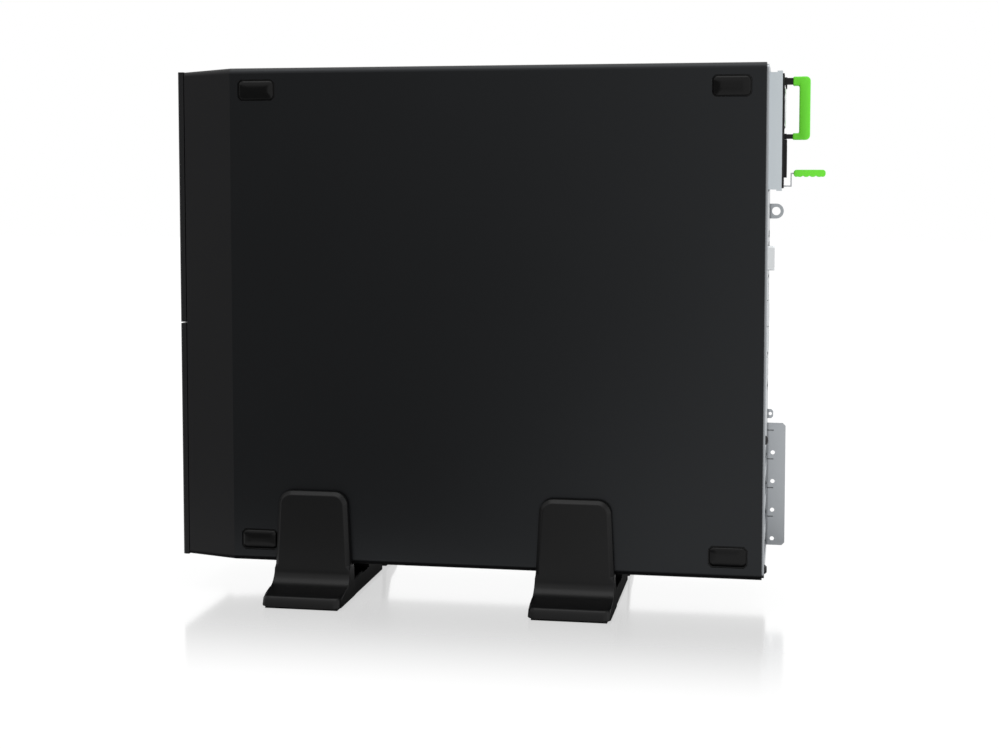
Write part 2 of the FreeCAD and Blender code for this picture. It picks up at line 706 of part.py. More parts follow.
def upper_z():
    """Height range of the upper cover."""
    return SPLIT + COVER_SPLIT / 2, FACE_Z1


def front_bezel():
    """Tapered moulded frame with hinge knuckles and control board posts."""
    outer = Part.makeLoft([rect_wire(SEAM, SIDE, BOTTOM, TOP, EDGE_R),
                           rect_wire(BEZEL_FRONT, FACE_X, FACE_Z0, FACE_Z1, BEZEL_EDGE_R)], True, True)
    w = BEZEL_WALL
    back = rect_wire(SEAM, SIDE - w, BOTTOM + w, TOP - w, EDGE_R - w)
    front = rect_wire(BEZEL_FRONT + w, FACE_X - w, FACE_Z0 + w, FACE_Z1 - w, EDGE_R - w)
    inner = Part.makeLoft([back, front], True, True)
    shell = outer.cut(inner)
    y0 = BEZEL_FRONT
    y1 = BEZEL_FRONT + w
    cuts = [box(CAGE_X0 - FIT, CAGE_X1 + FIT, y0, y1, CAGE_Z0 - FIT, CAGE_Z1 + FIT)]
    odd = ODD_T / 2 + SLIDE_FIT
    cuts.append(box(ODD_SET - odd, ODD_SET + odd, y0, y1, ODD_Z0 - SLIDE_FIT, ODD_Z1 + SLIDE_FIT))
    cuts += control_cuts(y0, y1, SLIDE_FIT)
    shell = shell.cut(cuts)
    return shell.fuse(control_posts(y1) + door_knuckles()).removeSplitter()


def control_cuts(y0, y1, grow):
    """Holes for buttons, lights and ports through one thickness of the front."""
    cuts = []
    for r, drop in ((POWER_R, POWER_DROP), (ID_R, ID_DROP)):
        z = FACE_Z1 - drop
        cuts.append(bar(HUB_SIDES, r + grow, V(CONTROL_X, y0, z), V(CONTROL_X, y1, z)))
    for k in range(LIGHTS):
        z = FACE_Z1 - LIGHT_DROP - k * LIGHT_PITCH
        cuts.append(box(CONTROL_X - LIGHT_W / 2 - grow / 2, CONTROL_X + LIGHT_W / 2 + grow / 2, y0, y1,
                        z - LIGHT_H / 2 - grow / 2, z + LIGHT_H / 2 + grow / 2))
    for drop in USB_DROP:
        z = FACE_Z1 - drop
        cuts.append(box(CONTROL_X - USB_H / 2 - grow, CONTROL_X + USB_H / 2 + grow, y0, y1,
                        z - USB_W / 2 - grow, z + USB_W / 2 + grow))
    return cuts


def board_span():
    """Outline of the control board."""
    z0 = FACE_Z1 - USB_DROP[-1] - BOARD_EDGE
    z1 = FACE_Z1 - POWER_DROP + BOARD_EDGE
    return CONTROL_X - BOARD_EDGE, CONTROL_X + BOARD_EDGE, z0, z1


def control_posts(y0):
    """Posts behind the bezel that carry the control board."""
    x0, x1, z0, z1 = board_span()
    posts = []
    for x in (x0 + POST_R, x1 - POST_R):
        for z in (z0 + POST_R, z1 - POST_R):
            posts.append(bar(6, POST_R, V(x, y0, z), V(x, CONTROL_Y, z)))
    return posts


def knuckle_z():
    """Middles of the two hinge knuckles."""
    z0, z1 = lower_z()
    return z0 + KNUCKLE_SET, z1 - KNUCKLE_SET


def door_knuckles():
    """Knuckles on the bezel's left edge that hold the door's pins."""
    parts = []
    r = COVER_T / 2
    for z in knuckle_z():
        low = z - KNUCKLE_H / 2
        high = z + KNUCKLE_H / 2
        barrel = rod(r, V(HINGE_X, HINGE_Y, low), V(HINGE_X, HINGE_Y, high))
        root = box(HINGE_X - r, HINGE_X + r, HINGE_Y, BEZEL_FRONT + BEZEL_WALL, low, high)
        bore = rod(HINGE_PIN_R + RUN_FIT, V(HINGE_X, HINGE_Y, low), V(HINGE_X, HINGE_Y, high))
        parts.append(barrel.fuse(root).cut(bore).removeSplitter())
    return parts


def door_pins():
    """Two steel hinge pins."""
    over = KNUCKLE_H / 2 + HINGE_PIN_OVER
    return group(rod(HINGE_PIN_R, V(HINGE_X, HINGE_Y, z - over), V(HINGE_X, HINGE_Y, z + over))
                 for z in knuckle_z())


def drive_door():
    """Slotted door over the drives, hinged on its rounded left edge."""
    z0, z1 = lower_z()
    plate = box(HINGE_X, FACE_X, FRONT, COVER_BACK, z0, z1)
    rim = [e for e in edges_at(plate, "Y", FRONT)
           if e.BoundBox.XMin > FACE_X - NEAR and e.BoundBox.ZLength > NEAR]
    plate = plate.makeFillet(COVER_T / 2, rim)
    barrel = rod(COVER_T / 2, V(HINGE_X, HINGE_Y, z0), V(HINGE_X, HINGE_Y, z1))
    door = plate.fuse(barrel).removeSplitter()
    cuts = []
    over = KNUCKLE_H / 2 + FIT
    reach = COVER_T / 2 + SLIDE_FIT
    for z in knuckle_z():
        cuts.append(box(HINGE_X - reach, HINGE_X + reach, FRONT, COVER_BACK, z - over, z + over))
        pin = over + HINGE_PIN_OVER
        cuts.append(rod(HINGE_PIN_R + RUN_FIT, V(HINGE_X, HINGE_Y, z - pin), V(HINGE_X, HINGE_Y, z + pin)))
    cuts += door_slots(z0, z1)
    return door.cut(cuts)


def door_slots(z0, z1):
    """One column of wide air slots."""
    rows = int((z1 - z0 - 2 * DOOR_RIM - DOOR_SLOT_H) / DOOR_SLOT_PITCH) + 1
    first = (z0 + z1 - (rows - 1) * DOOR_SLOT_PITCH - DOOR_SLOT_H) / 2
    half = DOOR_SLOT_W / 2
    slots = []
    for k in range(rows):
        z = first + k * DOOR_SLOT_PITCH
        slots.append(box(-half, half, FRONT, COVER_BACK, z, z + DOOR_SLOT_H))
    return slots


def front_cover():
    """Upper front plate with optical drive, button, light and port openings."""
    z0, z1 = upper_z()
    plate = box(-FACE_X, FACE_X, FRONT, COVER_BACK, z0, z1)
    rim = [e for e in edges_at(plate, "Y", FRONT) if e.BoundBox.ZLength > NEAR]
    plate = plate.makeFillet(COVER_T / 2, rim)
    odd = ODD_T / 2 + SLIDE_FIT
    cuts = [box(ODD_SET - odd, ODD_SET + odd, FRONT, COVER_BACK, ODD_Z0 - SLIDE_FIT, ODD_Z1 + SLIDE_FIT)]
    cuts += control_cuts(FRONT, COVER_BACK, FIT)
    studs = []
    for x in (CONTROL_X - 2 * BOARD_EDGE, FACE_X - BOARD_EDGE):
        for z in (z0 + BOARD_EDGE / 2, z1 - BOARD_EDGE / 2):
            studs.append(bar(6, POST_R, V(x, COVER_BACK, z), V(x, BEZEL_FRONT, z)))
    return plate.cut(cuts).fuse(studs)


def control_board():
    """Circuit board behind the front with its switches."""
    x0, x1, z0, z1 = board_span()
    board = box(x0, x1, CONTROL_Y, CONTROL_Y + BOARD_T, z0, z1)
    switches = []
    for drop in (POWER_DROP, ID_DROP):
        z = FACE_Z1 - drop
        half = SWITCH_W / 2
        base = box(CONTROL_X - half, CONTROL_X + half, CONTROL_Y - SWITCH_H / 2, CONTROL_Y,
                   z - half, z + half)
        tip = bar(6, SWITCH_TIP_R, V(CONTROL_X, CONTROL_Y - SWITCH_H, z), V(CONTROL_X, CONTROL_Y, z))
        switches += [base, tip]
    return board.fuse(switches).removeSplitter()


def button(r, drop):
    """Front button: crowned face, stem to its switch."""
    z = FACE_Z1 - drop
    cap = bar(HUB_SIDES, r, V(CONTROL_X, FRONT, z), V(CONTROL_X, COVER_BACK + COVER_GAP, z))
    cap = cap.makeChamfer(r * CROWN, edges_at(cap, "Y", FRONT))
    tip = CONTROL_Y - SWITCH_H - BUTTON_TRAVEL - FIT
    stem = bar(6, r * STEM, V(CONTROL_X, BEZEL_FRONT, z), V(CONTROL_X, tip, z))
    return cap.fuse(stem).removeSplitter()


def status_lights():
    """Light guides from the control board to the front face."""
    bars = []
    for k in range(LIGHTS):
        z = FACE_Z1 - LIGHT_DROP - k * LIGHT_PITCH
        block = box(CONTROL_X - LIGHT_W / 2, CONTROL_X + LIGHT_W / 2, FRONT + FIT, CONTROL_Y,
                  z - LIGHT_H / 2, z + LIGHT_H / 2)
        bars.append(block)
    return group(bars)


def socket(x, z, wide_x, wide_z, y_mouth, y_root, wall, floor_t):
    """Metal port shell, open at its mouth."""
    front = min(y_mouth, y_root)
    back = max(y_mouth, y_root)
    shell = box(x - wide_x / 2, x + wide_x / 2, front, back, z - wide_z / 2, z + wide_z / 2)
    if y_mouth < y_root:
        hollow = (front, back - floor_t)
    else:
        hollow = (front + floor_t, back)
    cut = box(x - wide_x / 2 + wall, x + wide_x / 2 - wall, hollow[0], hollow[1],
              z - wide_z / 2 + wall, z + wide_z / 2 - wall)
    return shell.cut(cut)


def front_usb_ports():
    """Two upright ports on the control board."""
    ports = []
    for drop in USB_DROP:
        z = FACE_Z1 - drop
        mouth = FRONT + FIT
        shell = socket(CONTROL_X, z, USB_H, USB_W, mouth, CONTROL_Y, USB_WALL, USB_BACK)
        tongue = box(CONTROL_X - TONGUE_T, CONTROL_X, mouth + TONGUE_SET, CONTROL_Y - USB_BACK,
                     z - TONGUE_W / 2, z + TONGUE_W / 2)
        ports.append(shell.fuse(tongue).removeSplitter())
    return group(ports)


# Optical drive
ODD_FACE_T = 6.0
ODD_WALL = 0.8
ODD_BODY_SET = 9.0     # body behind the front face
DISC_R = 60.0
EJECT_W = 4.0
EJECT_L = 9.0
EJECT_TRAVEL = 0.8
EJECT_SET = 24.0
DECK_STEP = 1.2        # steps of the tray's floor
HUB_R = 12.0


def odd_body():
    """Slim drive case, open at the front for its tray."""
    y0 = FRONT + ODD_BODY_SET
    y1 = y0 + ODD_L
    half = ODD_T / 2
    case = box(ODD_SET - half, ODD_SET + half, y0, y1, ODD_Z0, ODD_Z1)
    w = ODD_WALL
    hollow = box(ODD_SET - half + w, ODD_SET + half - w, y0, y1 - w, ODD_Z0 + w, ODD_Z1 - w)
    return case.cut(hollow)


def odd_tray():
    """Tray with a disc well, and the face that closes the slot."""
    half = ODD_T / 2
    z_mid = (ODD_Z0 + ODD_Z1) / 2
    face = box(ODD_SET - half, ODD_SET + half, FRONT + FIT, FRONT + FIT + ODD_FACE_T, ODD_Z0, ODD_Z1)
    y0 = FRONT + FIT + ODD_FACE_T
    y1 = FRONT + ODD_BODY_SET + ODD_L - ODD_WALL - FIT
    gap = ODD_WALL + FIT
    deck = box(ODD_SET - half + gap, ODD_SET + half - gap, y0, y1, ODD_Z0 + gap, ODD_Z1 - gap)
    y_mid = (y0 + y1) / 2
    floor_x = ODD_SET + half - gap - 3 * DECK_STEP
    well = bar(BORE_SIDES, DISC_R, V(ODD_SET - half, y_mid, z_mid), V(floor_x, y_mid, z_mid))
    hub_x = ODD_SET - half + gap + DECK_STEP
    hub = bar(HUB_SIDES, HUB_R, V(hub_x, y_mid, z_mid), V(floor_x + DECK_STEP, y_mid, z_mid))
    tray = deck.cut(well).fuse([hub, face])
    hole = eject_box(FIT, FRONT, y0 + BUTTON_TRAVEL)
    return tray.cut(hole).removeSplitter()


def eject_box(grow, y0, y1):
    """Block at the eject button's place."""
    z = ODD_Z0 + EJECT_SET
    return box(ODD_SET - EJECT_W / 2 - grow, ODD_SET + EJECT_W / 2 + grow, y0, y1,
               z - EJECT_L / 2 - grow, z + EJECT_L / 2 + grow)


def odd_eject_button():
    """Eject button in the tray's face."""
    back = FRONT + FIT + ODD_FACE_T + BUTTON_TRAVEL - EJECT_TRAVEL - FIT
    return rounded(eject_box(0, FRONT + FIT / 2, back), "Y", EJECT_W / 4)


# Drives and fans
DRIVES_FITTED = 4
CARRIER_FACE_T = 6.0
LEVER_T = 2.2
LEVER_W = 46.0
LEVER_H = 9.0
RIB_SET = 2.0          # cage ribs behind the carriers' faces
CARRIER_VENT_W = 5.0
CARRIER_VENT_RIM = 2.0
DRIVE_PLUG_W = 30.0
DRIVE_PLUG_T = 5.0
PLANE_VENT_H = 10.0
PLANE_VENT_RIM = 4.0
PLANE_WEB = 6.0        # backplane between vents and plugs


def bay_z(k):
    """Floor of a drive bay."""
    return CAGE_Z0 + CAGE_T + k * DRIVE_PITCH


def drive_cage():
    """Folded cage on two side legs, with guide ribs between the bays."""
    outer = box(CAGE_X0, CAGE_X1, CAGE_Y0, CAGE_Y1, CAGE_Z0, CAGE_Z1)
    inner = box(CAGE_X0 + CAGE_T, CAGE_X1 - CAGE_T, CAGE_Y0, CAGE_Y1, CAGE_Z0 + CAGE_T, CAGE_Z1 - CAGE_T)
    legs = []
    for x in (CAGE_X0, CAGE_X1 - CAGE_T):
        legs.append(box(x, x + CAGE_T, TRAY_FRONT + 2 * TRAY_T, CAGE_Y1, FLOOR, CAGE_Z0))
    ribs = []
    for k in range(1, DRIVE_BAYS):
        z = bay_z(k) - CAGE_T / 2
        for x0, x1 in ((CAGE_X0 + CAGE_T, CAGE_X0 + 2 * CAGE_T), (CAGE_X1 - 2 * CAGE_T, CAGE_X1 - CAGE_T)):
            ribs.append(box(x0, x1, CAGE_Y0 + CARRIER_FACE_T + RIB_SET, CAGE_Y1, z - CAGE_T / 2,
                        z + CAGE_T / 2))
    return outer.cut(inner).fuse(legs + ribs).removeSplitter()


def carrier(k):
    """Carrier: face with a lever recess, two rails."""
    z0 = bay_z(k) + FIT
    z1 = bay_z(k + 1) - CAGE_T - FIT
    half = DRIVE_W / 2 + CARRIER_RAIL
    y0 = CAGE_Y0
    face = box(-half, half, y0, y0 + CARRIER_FACE_T, z0, z1)
    recess = box(-LEVER_W / 2 - FIT, LEVER_W / 2 + FIT, y0, y0 + LEVER_T + FIT,
                 lever_z(k)[0] - FIT, lever_z(k)[1] + FIT)
    rim = CARRIER_VENT_RIM
    vents = [box(x, x + CARRIER_VENT_W, y0, y0 + CARRIER_FACE_T, z0 + rim, z1 - rim)
             for x in (-half + rim, half - rim - CARRIER_VENT_W)]
    rails = []
    for x in (-half, half - CARRIER_RAIL + FIT):
        rails.append(box(x, x + CARRIER_RAIL - FIT, y0 + CARRIER_FACE_T, y0 + CARRIER_L, z0, z1))
    return face.cut([recess] + vents).fuse(rails).removeSplitter()


def lever_z(k):
    """Height range of a carrier's lever."""
    middle = (bay_z(k) + bay_z(k + 1) - CAGE_T) / 2
    return middle - LEVER_H / 2, middle + LEVER_H / 2


def carrier_lever(k):
    """Pull lever folded into the carrier's face."""
    z0, z1 = lever_z(k)
    return box(-LEVER_W / 2, LEVER_W / 2, CAGE_Y0, CAGE_Y0 + LEVER_T, z0, z1)


def disk_drive(k):
    """Drive between a carrier's rails."""
    z0 = bay_z(k) + FIT + SLIDE_FIT
    y0 = CAGE_Y0 + CARRIER_FACE_T
    return box(-DRIVE_W / 2, DRIVE_W / 2, y0 + FIT, y0 + FIT + DRIVE_L, z0, z0 + DRIVE_H)


def drive_backplane():
    """Board behind the drives, with a socket for each bay."""
    board = box(CAGE_X0, CAGE_X1, CAGE_Y1, CAGE_Y1 + BOARD_T, CAGE_Z0, CAGE_Z1)
    vents = []
    sockets = []
    for k in range(DRIVE_BAYS):
        z = (bay_z(k) + bay_z(k + 1)) / 2
        vents.append(box(CAGE_X0 + PLANE_VENT_RIM, -PLANE_WEB, CAGE_Y1, CAGE_Y1 + BOARD_T,
                         z - PLANE_VENT_H / 2, z + PLANE_VENT_H / 2))
        sockets.append(box(0, DRIVE_PLUG_W, CAGE_Y1 - PLUG_SPACE + FIT, CAGE_Y1,
                           z - DRIVE_PLUG_T / 2, z + DRIVE_PLUG_T / 2))
    return board.cut(vents).fuse(sockets).removeSplitter()


FAN_X1 = BOARD_FACE - FIT - HOLDER_T - HOLDER_FIT
FAN_X0 = FAN_X1 - FAN
FAN_X = (FAN_X0 + FAN_X1) / 2
FAN_Z0 = FLOOR + HOLDER_T + HOLDER_FIT
FAN_STEP = FAN + HOLDER_T + 2 * HOLDER_FIT
FAN_Z = [FAN_Z0 + FAN / 2 + k * FAN_STEP for k in range(2)]
FAN_BORE_R = 38.5
FAN_TIP_R = 37.5
FAN_HUB_R = 17.0
FAN_POST_R = 2.5
FAN_BLADES = 5
STRUT_W = 4.0
PLATE_T = 3.0
STRUT_BITE = 0.5       # struts into the frame
BLADE_T = 0.05         # blade, share of the tip radius
BLADE_CHORD = 0.95     # share of the tip radius
BLADE_PITCH = 42.0     # degrees to the plane of turning
BLADE_CAMBER = 0.1     # share of the chord
BLADE_IN = 0.5         # blade's root, share of the hub radius


def fan_frame(x, y0, y1, z, size, bore_r, hub_r, post_r):
    """Square fan frame with struts, motor plate and bearing post."""
    half = size / 2
    frame = box(x - half, x + half, y0, y1, z - half, z + half)
    hub = bar(HUB_SIDES, hub_r, V(x, y1 - PLATE_T, z), V(x, y1, z))
    post = rod(post_r, V(x, y0 + PLATE_T, z), V(x, y1, z))
    struts = []
    for turn in (0, 90):
        reach = bore_r + STRUT_BITE
        strut = box(x - STRUT_W / 2, x + STRUT_W / 2, y1 - PLATE_T, y1, z - reach, z + reach)
        strut.rotate(V(x, y1, z), V(0, 1, 0), turn + 45)
        struts.append(strut)
    bore = bar(BORE_SIDES, bore_r, V(x, y0, z), V(x, y1, z))
    return frame.cut(bore).fuse([hub, post] + struts).removeSplitter()


def blade(hub_r, tip_r):
    """Cambered blade from inside the hub to the tip circle, about the fan's own middle."""
    pitch = math.radians(BLADE_PITCH)
    along = V(math.cos(pitch), math.sin(pitch), 0)
    across = V(-along.y, along.x, 0)
    chord = BLADE_CHORD * tip_r
    half_t = BLADE_T * tip_r / 2
    root = V(0, 0, hub_r * BLADE_IN)
    middle_line = [along * (-chord / 2), across * (chord * BLADE_CAMBER), along * (chord / 2)]
    front = [root + p + across * half_t for p in middle_line]
    back = [root + p - across * half_t for p in middle_line]
    tip = math.sqrt(tip_r ** 2 - max(abs(p.x) for p in front + back) ** 2)
    return prism(front + back[::-1], V(0, 0, tip - root.z))


def rotor(x, y0, y1, z, hub_r, tip_r, post_r, blades):
    """Impeller: crowned hub with cambered blades."""
    hub = bar(HUB_SIDES, hub_r, V(x, y0, z), V(x, y1, z))
    hub = hub.makeChamfer(hub_r * CROWN, edges_at(hub, "Y", y0))
    one = blade(hub_r, tip_r)
    one.translate(V(x, (y0 + y1) / 2, z))
    all_blades = []
    for k in range(blades):
        copy = one.copy()
        copy.rotate(V(x, 0, z), AXES["Y"], k * 360.0 / blades)
        all_blades.append(copy)
    bore = rod(post_r + RUN_FIT, V(x, y0 + PLATE_T / 2, z), V(x, y1, z))
    return hub.fuse(all_blades).removeSplitter().cut(bore)


def fan_holder():
    """Moulded holder round both fans, standing on the chassis floor."""
    half = FAN / 2 + HOLDER_FIT
    z0 = FLOOR
    z1 = FAN_Z[-1] + half + HOLDER_T
    x0 = FAN_X - half - HOLDER_T
    x1 = FAN_X + half + HOLDER_T
    block = rounded(box(x0, x1, FAN_Y0, FAN_Y1, z0, z1), "Y", HOLDER_T)
    cuts = [box(FAN_X - half, FAN_X + half, FAN_Y0, FAN_Y1, z - half, z + half) for z in FAN_Z]
    return block.cut(cuts)


# Mainboard and what sits on it
PILLAR_R = 3.0
SCREW_TOP_H = 2.0
PILLAR_INSET = 8.0
PILLAR_MID_DROP = 26.0  # middle row below the board's middle
HEAT_W = 84.0
HEAT_H = 62.0
HEAT_BASE = 6.0
HEAT_FINS = 16
FIN_T = 0.8
SOCKET_W = 52.0
SOCKET_H = 5.0
SOCKET_R = 2.0
HEAT_Y = 60.0          # heat sink in front of the board's rear edge
DIMM_L = 133.3
DIMM_H = 31.2
DIMM_T = 3.6
DIMM_SOCKET_H = 6.0
DIMM_SOCKET_T = 6.4
DIMM_PITCH = 9.6
DIMMS = 4
DIMM_END = 4.0         # socket past the module
DIMM_FLOOR = 2.0       # module above the board
DIMM_SET = 70.0        # module in front of the board's rear edge
DIMM_TOP = 8.0         # last socket below the board's top
SLOT_CONN_T = 7.5
SLOT_CONN_H = 11.0
SLOT_CONN_LENGTHS = (56.0, 89.0, 56.0, 25.0)
CARD_FLOOR = 3.0       # card groove above the board
CARD_END = 1.5
CARD_GROOVE = 1.8
SLOT_CONN_SET = 58.0   # connector end in front of the board's rear edge
CHIP_W = 34.0
CHIP_H = 14.0
CHIP_BASE = 4.0
CHIP_FINS = 7


def pillar_places():
    """Mainboard fixing points."""
    ys = (BOARD_Y0 + BOARD_UNDER_FAN + PILLAR_INSET, BOARD_Y1 - SLOT_CONN_SET + 3 * PILLAR_R,
          BOARD_Y1 - PILLAR_INSET)
    zs = (BOARD_Z0 + PILLAR_INSET, (BOARD_Z0 + BOARD_Z1) / 2 - PILLAR_MID_DROP, BOARD_Z1 - PILLAR_INSET / 2)
    return [(y, z) for y in ys for z in zs]


def mainboard():
    """Main circuit board."""
    return box(BOARD_FACE, BOARD_BACK, BOARD_Y0, BOARD_Y1, BOARD_Z0, BOARD_Z1)


def board_standoffs():
    """Hexagonal pillars between chassis and board."""
    pillars = []
    for y, z in pillar_places():
        pillars.append(bar(6, PILLAR_R, V(BOARD_BACK, y, z), V(TRAY_IN, y, z)))
    return group(pillars)


def board_screws():
    """Hexagonal screw heads on the board, over the pillars."""
    return group(bar(6, PILLAR_R, V(BOARD_FACE - SCREW_TOP_H, y, z), V(BOARD_FACE, y, z))
                 for y, z in pillar_places())


def heat_span():
    """Outline of the processor's heat sink on the board."""
    y = BOARD_Y1 - HEAT_Y - HEAT_W / 2
    low = SLOT_Z[-1] + SLOT_CONN_T / 2
    high = dimm_z(DIMMS - 1) - DIMM_SOCKET_T / 2
    z = (low + high) / 2
    return y - HEAT_W / 2, y + HEAT_W / 2, z - HEAT_W / 2, z + HEAT_W / 2


def cpu_socket():
    """Processor socket with its lid."""
    y0, y1, z0, z1 = heat_span()
    y = (y0 + y1) / 2
    z = (z0 + z1) / 2
    half = SOCKET_W / 2
    block = box(BOARD_FACE - SOCKET_H, BOARD_FACE, y - half, y + half, z - half, z + half)
    return rounded(block, "X", SOCKET_R)


def cpu_heat_sink():
    """Passive sink with fins along the air's path."""
    y0, y1, z0, z1 = heat_span()
    x1 = BOARD_FACE - SOCKET_H
    base = box(x1 - HEAT_BASE, x1, y0, y1, z0, z1)
    fins = []
    pitch = (HEAT_W - FIN_T) / (HEAT_FINS - 1)
    for k in range(HEAT_FINS):
        z = z0 + k * pitch
        fins.append(box(x1 - HEAT_H, x1 - HEAT_BASE, y0, y1, z, z + FIN_T))
    return base.fuse(fins).removeSplitter()


def dimm_z(k):
    """Middle of a memory socket."""
    return BOARD_Z1 - DIMM_TOP - DIMM_SOCKET_T / 2 - k * DIMM_PITCH


def memory_sockets():
    """Memory sockets with end latches and a card groove."""
    sockets = []
    y0, y1 = dimm_span()
    for k in range(DIMMS):
        z = dimm_z(k)
        half = DIMM_SOCKET_T / 2
        block = box(BOARD_FACE - DIMM_SOCKET_H, BOARD_FACE, y0 - DIMM_END, y1 + DIMM_END,
                  z - half, z + half)
        ends = [box(BOARD_FACE - 3 * DIMM_SOCKET_H, BOARD_FACE, y, y + DIMM_END - FIT, z - half, z + half)
                for y in (y0 - DIMM_END, y1 + FIT)]
        groove = box(BOARD_FACE - DIMM_SOCKET_H, BOARD_FACE - DIMM_FLOOR, y0 - FIT, y1 + FIT,
                     z - DIMM_T / 2 - FIT / 3, z + DIMM_T / 2 + FIT / 3)
        sockets.append(block.fuse(ends).cut(groove).removeSplitter())
    return group(sockets)


def dimm_span():
    """Length range of the memory modules."""
    y1 = BOARD_Y1 - DIMM_SET
    return y1 - DIMM_L, y1


def memory_modules():
    """Memory cards standing in their sockets."""
    y0, y1 = dimm_span()
    x1 = BOARD_FACE - DIMM_FLOOR
    return group(box(x1 - DIMM_H, x1, y0, y1, dimm_z(k) - DIMM_T / 2, dimm_z(k) + DIMM_T / 2)
                 for k in range(DIMMS))


def expansion_slots():
    """Card edge sockets, one for each rear slot."""
    sockets = []
    y1 = BOARD_Y1 - SLOT_CONN_SET
    for z, length in zip(SLOT_Z, SLOT_CONN_LENGTHS):
        half = SLOT_CONN_T / 2
        block = box(BOARD_FACE - SLOT_CONN_H, BOARD_FACE, y1 - length, y1, z - half, z + half)
        groove = box(BOARD_FACE - SLOT_CONN_H, BOARD_FACE - CARD_FLOOR, y1 - length + CARD_END, y1 - CARD_END,
                     z - CARD_GROOVE / 2, z + CARD_GROOVE / 2)
        sockets.append(block.cut(groove))
    return group(sockets)


def chipset_heat_sink():
    """Small finned sink beside the card sockets."""
    y0 = BOARD_Y0 + BOARD_UNDER_FAN + CHIP_W / 2
    z0 = SLOT_Z[1]
    base = box(BOARD_FACE - CHIP_BASE, BOARD_FACE, y0, y0 + CHIP_W, z0, z0 + CHIP_W)
    fins = []
    for k in range(CHIP_FINS):
        z = z0 + k * (CHIP_W - FIN_T) / (CHIP_FINS - 1)
        fins.append(box(BOARD_FACE - CHIP_H, BOARD_FACE - CHIP_BASE, y0, y0 + CHIP_W, z, z + FIN_T))
    return base.fuse(fins).removeSplitter()


def video_port():
    """D-shaped video port: bevelled shell on a block."""
    z0, z1, x0, x1 = port_span(VIDEO_PORT)
    tip = REAR_OUT + VIDEO_PORT[3]
    ring = [V(x0, REAR_IN, z0 + VIDEO_LEAN), V(x1, REAR_IN, z0),
            V(x1, REAR_IN, z1), V(x0, REAR_IN, z1 - VIDEO_LEAN)]
    shell = rounded(prism(ring, V(0, tip - REAR_IN, 0)), "Y", VIDEO_R)
    block = box(x0 - VIDEO_BLOCK, BOARD_FACE, REAR_IN - PORT_L, REAR_IN, z0 - VIDEO_WING, z1 + VIDEO_WING)
    r = VIDEO_RIM
    sunk = box(x0 + r, x1 - r, tip - VIDEO_D, tip, z0 + VIDEO_LEAN + r, z1 - VIDEO_LEAN - r)
    return block.fuse(shell).cut(sunk).removeSplitter()


def network_ports():
    """Network jacks, each a shell with a stepped mouth."""
    jacks = []
    for port in LAN_PORTS:
        z0, z1, x0, x1 = port_span(port)
        tip = REAR_OUT + port[3]
        shell = box(x0, x1, tip - LAN_L, tip, z0, z1)
        foot = box(x1, BOARD_FACE, tip - LAN_L, REAR_IN - FIT, z0 + PORT_FOOT, z1 - PORT_FOOT)
        mouth = box(x0 + LAN_WALL, x1 - LAN_KEY, tip - LAN_MOUTH_D, tip, z0 + LAN_END, z1 - LAN_END)
        z = (z0 + z1) / 2
        key = box(x1 - LAN_KEY, x1 - PORT_WALL, tip - LAN_MOUTH_D, tip, z - LAN_KEY_W / 2, z + LAN_KEY_W / 2)
        jacks.append(shell.fuse(foot).cut([mouth, key]).removeSplitter())
    return group(jacks)


def rear_usb_ports():
    """Double-deck ports, each a shell with two mouths and their tongues."""
    stacks = []
    for port in USB_STACKS:
        z0, z1, x0, x1 = port_span(port)
        tip = REAR_OUT + port[3]
        shell = box(x0, x1, tip - PORT_L, tip, z0, z1)
        foot = box(x1, BOARD_FACE, tip - PORT_L, REAR_IN - FIT, z0 + PORT_FOOT, z1 - PORT_FOOT)
        cuts = []
        tongues = []
        high = USB_H - 2 * USB_WALL
        for x in (x0 + PORT_WALL, x1 - PORT_WALL - high):
            cuts.append(box(x, x + high, tip - USB_MOUTH_D, tip, z0 + USB_END, z1 - USB_END))
            low = x + USB_TONGUE_LIFT
            tongues.append(box(low, low + TONGUE_T, tip - USB_MOUTH_D, tip - USB_TONGUE_SET,
                               z0 + USB_TONGUE_END, z1 - USB_TONGUE_END))
        stacks.append(shell.fuse(foot).cut(cuts).fuse(tongues).removeSplitter())
    return group(stacks)


# Power bay and supply
LATCH_W = 14.0
LATCH_T = 0.8
LATCH_RISE = 8.4       # step up to the cap
LATCH_STEP = 6.4       # step behind the steel case
LATCH_SET = 1.8        # strip above the case's bottom
LATCH_ROOT = 24.0      # pivot in front of the case's end
TOOTH_NOTCH = 1.2
TOOTH_BELOW = 1.0
TOOTH_FRONT = 3.0      # tooth in front of the panel's rear edge
TOOTH_BACK = 2.0
TOOTH_SLOT = 4.0       # slot in the case, each way from that edge
PLUG_T = 8.0           # power board sockets
PLUG_L = 9.0
PLUG_UP = 8.0
PLUG_H = 50.0
BLANK_RIM = 5.0
BLANK_END = 10.0
CASE_RIM = 4.0
CASE_END = 12.0
BLANK_L = 46.0
CAP_T = 4.7
CAP_W = 16.0
CAP_GAP = 7.6          # cap's start behind the case's end
CAP_RIBS = 4
CAP_R = 1.9
CAP_GROOVE_R = 0.3     # share of the rib pitch
CAP_GROOVE_OUT = 0.12  # groove's middle below the cap, share of the pitch
END_T = 1.2
FAN_S = PSU_W - 2 * PSU_SHEET - 2 * FIT
FAN_S_T = 28.0
FAN_S_DROP = 22.5      # fan's middle below the supply's top
FAN_S_BORE = 17.6
FAN_S_TIP = 17.0
FAN_S_HUB = 9.0
FAN_S_POST = 1.5
GUARD_T = 1.2
GUARD_OVER = 0.6       # crossed bars past the fan's bore
GUARD_RINGS = (13.0, 7.0)
INLET_W = 28.0
INLET_H = 25.0
INLET_DROP = 56.0      # inlet's middle below the supply's top
INLET_OUT = 3.1
INLET_IN = 16.0
